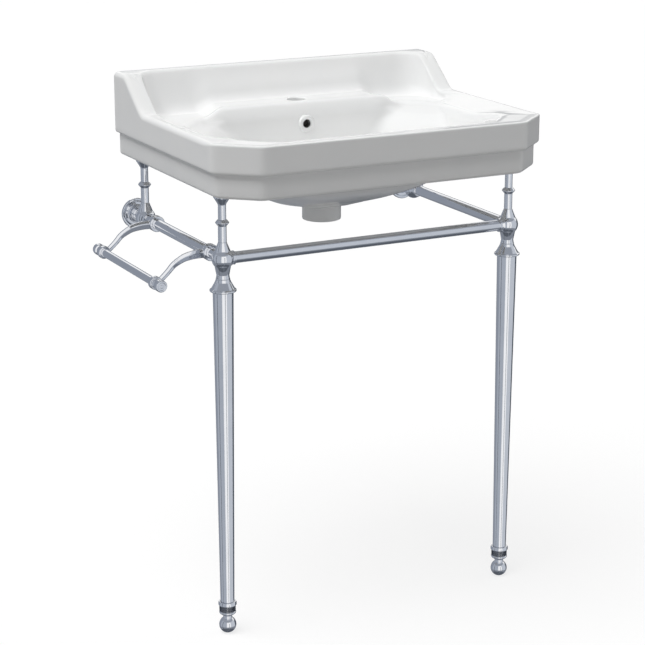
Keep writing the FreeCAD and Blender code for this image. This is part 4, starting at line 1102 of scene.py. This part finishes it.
def ridged_section(height, thickness):
    """A tall rounded section with a ridge along each flat."""
    half, wide = height / 2, thickness / 2
    right = [(0, -1), (0.55, -0.97), (0.78, -0.7), (0.8, -0.1), (1, 0.12), (1, 0.3), (0.8, 0.5), (0.7, 0.75),
             (0.5, 0.96), (0, 1)]
    return [(wide * a, half * b) for a, b in (*right, *((-a, b) for a, b in right[-2:0:-1]))]


class CONSOLE_OT_towel_holder(bpy.types.Operator):
    """Makes the towel holder: two curved arms, the bar and its end knobs"""

    bl_idname = "console_sink.towel_holder"
    bl_label = "Towel holder"

    def execute(self, context):
        s, towel = in_mm(context.scene.console_stand), in_mm(context.scene.console_towel)
        middle = -(s.front + s.rear) / 2
        half_bar = towel.spread / 2 + 4.9
        bar_x, bar_z = -s.spacing - towel.reach, s.rail - towel.drop
        # The arm's middle line, from the rail: outwards and up.
        way = [(-11, -0.6), (-20, -0.4), (-30, -1), (-42, -3), (-51, -6), (-65, -14), (-74, -23), (-82, -30.5),
               (-89, -36.5)]
        path = smooth_path([(x - s.spacing, z + s.rail) for x, z in way], 48)
        for row, direction in ENDS:
            y = middle + direction * towel.spread / 2
            collar = lathe([(9.55, -6), (13.2, -6, 0.5), (14, -5.2, 0.5), (14, -3.2, 0.3), (13.2, -2.6, 0.3),
                            (13.2, 2.6, 0.3), (14, 3.2, 0.3), (14, 5.2, 0.5), (13.2, 6, 0.5), (9.55, 6)],
                           (-s.spacing, y, s.rail), TO_WALL, closed=True)
            eye = lathe([(7.05, -4.5), (10, -4.5, 0.6), (10.95, -3.4, 0.6), (10.95, 3.4, 0.6), (10, 4.5, 0.6),
                         (7.05, 4.5)], (bar_x, y, bar_z), TO_WALL, closed=True)
            add_piece(f"{row}_arm", [collar, swept_arm(path, y), eye], body="towel_holder",
                      nodes=[f"{row}_towel_arm"], crease=28)
        bar = lathe([(towel.bar_radius - 2, -half_bar), (towel.bar_radius, -half_bar), (towel.bar_radius, half_bar),
                     (towel.bar_radius - 2, half_bar)], (bar_x, middle, bar_z), TO_WALL, closed=True)
        add_piece("towel_bar_tube", [bar], body="towel_bar", nodes=["towel_bar"])
        for row, direction in ENDS:
            knob = lathe([(0, -14), (4.9, -14), (4.9, 0), (8.5, 0, 0.8), (8.5, 4, 1.2), (6.5, 5.5, 1), (6.5, 11, 1),
                          (9.4, 12.2, 1), (9.95, 13.4, 0.8), (9.95, 22, 1.6), (9, 24, 0.8), (6.8, 24, 0.5),
                          (6.2, 22.9, 0.4), (3.2, 22.9, 0.5), (2.4, 23.9, 0.5), (0, 24)],
                         (bar_x, middle + direction * half_bar, bar_z), (0, direction, 0), steps=128)
            add_piece(f"{row}_knob", [knob], body="towel_bar", nodes=[f"{row}_towel_knob"])
        return {"FINISHED"}


class CONSOLE_OT_hidden_hardware(bpy.types.Operator):
    """Gives the hidden plugs, inserts, studs and rods their plated steel"""

    bl_idname = "console_sink.hidden_hardware"
    bl_label = "Hidden hardware"

    def execute(self, context):
        names = ["leg_joining_studs", "support_rods"]
        for side in SIDES:
            names += [f"{side}_leg_top_plug", f"{side}_leg_tip_insert", f"{side}_foot_stud"]
        for name in names:
            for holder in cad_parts[name].material_slots:
                holder.material = finish_for("steel")
        return {"FINISHED"}


# The stage.

CARDS = (
    # name, start and end in degrees from the camera's side, low and high slope, colour and distance in metres
    ("low_below", -180, 180, -89, -48, "5c6169", 8.5),
    ("below", -180, 180, -48, -30, "868b94", 8.5),
    ("above", -180, 180, 34, 89, "9a9fa8", 8.5),
    ("thin_left", -69, -63, -80, 30, "4a4f58", 8),
    ("left_wash", -97, -10, -80, 50, "adb3bd", 9),
    ("side_left", -155, -97, -80, 42, "9399a4", 9),
    ("far_left", -180, -155, -80, 11, "7d838d", 9),
    ("thin_right", 21, 27, -80, 20, "8a9099", 8),
    ("right_wash", 42, 112, -80, 50, "c8cdd5", 9),
    ("far_right", 112, 180, -80, 11, "545a64", 9),
)
LAMPS = (
    # name, direction of its light, its strength among the sizes, and its spread in degrees
    ("overhead_sky_light", (0.44, 0.04, -1), "overhead", 50),
    ("right_fill_light", (-1, 0.1, -0.25), "fill", 60),
)
CAMERA_PLACE = (-1.5471, -3.2358, 0.6534)


def add_card(name, start, end, low, high, code, near):
    """A card that only mirrors see, round the object on the side of the camera that its angles give."""
    yaw = bpy.context.scene.console_stage.yaw
    toward = np.array((-math.sin(yaw), -math.cos(yaw)))
    right = np.array((math.cos(yaw), -math.sin(yaw)))
    rings = []
    for turn in np.radians(np.linspace(start, end, int(abs(end - start) / 3) + 2)):
        way = (toward * math.cos(turn) + right * math.sin(turn)) * near
        rings.append([(way[0], way[1] - 0.2, -0.2 + near * math.tan(math.radians(slope))) for slope in (low, high)])
    faces = [(2 * k, 2 * k + 1, 2 * k + 3, 2 * k + 2) for k in range(len(rings) - 1)]
    material, add = new_material(f"{name}_card")
    glow = add("ShaderNodeEmission", {"Color": solid(linear(code)), "Strength": 1.0})
    add("ShaderNodeOutputMaterial", {"Surface": glow})
    card = new_object(name, [point for ring in rings for point in ring], faces, material)
    card.visible_camera = card.visible_diffuse = card.visible_transmission = card.visible_shadow = False


class CONSOLE_OT_stage(bpy.types.Operator):
    """Sets the floor, the light, the reflecting cards and the camera"""

    bl_idname = "console_sink.stage"
    bl_label = "Stage and camera"

    def execute(self, context):
        scene, stage = context.scene, context.scene.console_stage
        scene.view_settings.view_transform = "Standard"

        scene.world = bpy.data.worlds.new("studio")
        scene.world.use_nodes = True
        scene.world.node_tree.nodes.clear()
        add = adder(scene.world.node_tree)
        path = add("ShaderNodeLightPath").outputs
        seen = add("ShaderNodeMath", {0: path["Is Camera Ray"], 1: path["Is Glossy Ray"]}, operation="MAXIMUM")
        seen = add("ShaderNodeMath", {0: seen, 1: path["Is Transmission Ray"]}, operation="MAXIMUM")
        soft = add("ShaderNodeBackground", {"Color": (1, 1, 1, 1), "Strength": stage.ambient})
        white = add("ShaderNodeBackground", {"Color": (1, 1, 1, 1), "Strength": 1.0})
        add("ShaderNodeOutputWorld", {"Surface": add("ShaderNodeMixShader", {0: seen, 1: soft, 2: white})})

        # The camera sees a floor that glows a little and keeps the shadow; everything else is lit by a plain one.
        material, add = new_material("white_studio_floor")
        camera_ray = add("ShaderNodeLightPath").outputs["Is Camera Ray"]
        paint = add("ShaderNodeBsdfDiffuse", {"Color": (0.26, 0.26, 0.26, 1)})
        glow = add("ShaderNodeEmission", {"Color": (1, 1, 1, 1), "Strength": 0.75})
        shown = add("ShaderNodeAddShader", {0: paint, 1: glow})
        plain = add("ShaderNodeBsdfDiffuse", {"Color": (0.35, 0.35, 0.35, 1)})
        both = add("ShaderNodeMixShader", {0: camera_ray, 1: plain, 2: shown})
        add("ShaderNodeOutputMaterial", {"Surface": both})
        corners = [(60 * x, 60 * y, FLOOR) for x, y in ((-1, -1), (1, -1), (1, 1), (-1, 1))]
        floor = new_object("studio_floor", corners, [(0, 1, 2, 3)], material)
        floor.visible_glossy = False

        for name, way, strength, spread in LAMPS:
            lamp = bpy.data.lights.new(name, "SUN")
            lamp.angle, lamp.energy = math.radians(spread), getattr(stage, strength)
            holder = bpy.data.objects.new(name, lamp)
            holder.location = (-way[0], -way[1], 2.4)
            holder.rotation_euler = Vector(way).to_track_quat("-Z", "Y").to_euler()
            holder.visible_glossy = False
            scene.collection.objects.link(holder)
        for card in CARDS:
            add_card(*card)

        lens = bpy.data.cameras.new("camera")
        lens.sensor_width, lens.lens = 36, stage.lens
        lens.clip_start, lens.clip_end = 0.05, 200
        camera = bpy.data.objects.new("camera", lens)
        camera.location = CAMERA_PLACE
        camera.rotation_euler = (math.pi / 2 - stage.pitch, 0, -stage.yaw)
        scene.collection.objects.link(camera)
        scene.camera = camera
        return {"FINISHED"}


STEPS = (CONSOLE_OT_basin, CONSOLE_OT_legs, CONSOLE_OT_fittings, CONSOLE_OT_rails, CONSOLE_OT_supports,
         CONSOLE_OT_feet, CONSOLE_OT_grub_screws, CONSOLE_OT_towel_holder, CONSOLE_OT_hidden_hardware,
         CONSOLE_OT_stage)
GROUPS = {"console_basin": BasinSizes, "console_stand": StandSizes, "console_towel": TowelSizes,
          "console_finishes": FinishColours, "console_stage": StageLight}


class CONSOLE_PT_panel(bpy.types.Panel):
    """Sizes, colours and steps of the console sink"""

    bl_label = "Console Sink"
    bl_idname = "CONSOLE_PT_panel"
    bl_space_type = "VIEW_3D"
    bl_region_type = "UI"
    bl_category = "Console Sink"

    def draw(self, context):
        for name, group in GROUPS.items():
            box = self.layout.box()
            box.label(text=group.__doc__)
            for field in group.__annotations__:
                box.prop(getattr(context.scene, name), field)
        for step in STEPS:
            self.layout.operator(step.bl_idname)


def register():
    for item in (*GROUPS.values(), *STEPS, CONSOLE_PT_panel):
        bpy.utils.register_class(item)
    for name, group in GROUPS.items():
        setattr(bpy.types.Scene, name, PointerProperty(type=group))


def unregister():
    for name in GROUPS:
        delattr(bpy.types.Scene, name)
    for item in reversed((*GROUPS.values(), *STEPS, CONSOLE_PT_panel)):
        bpy.utils.unregister_class(item)


def main():
    register()
    for step in STEPS:
        area, action = step.bl_idname.split(".")
        if getattr(getattr(bpy.ops, area), action)() != {"FINISHED"}:
            raise RuntimeError(f"{step.bl_label} did not finish")


if __name__ == "__main__":
    main()
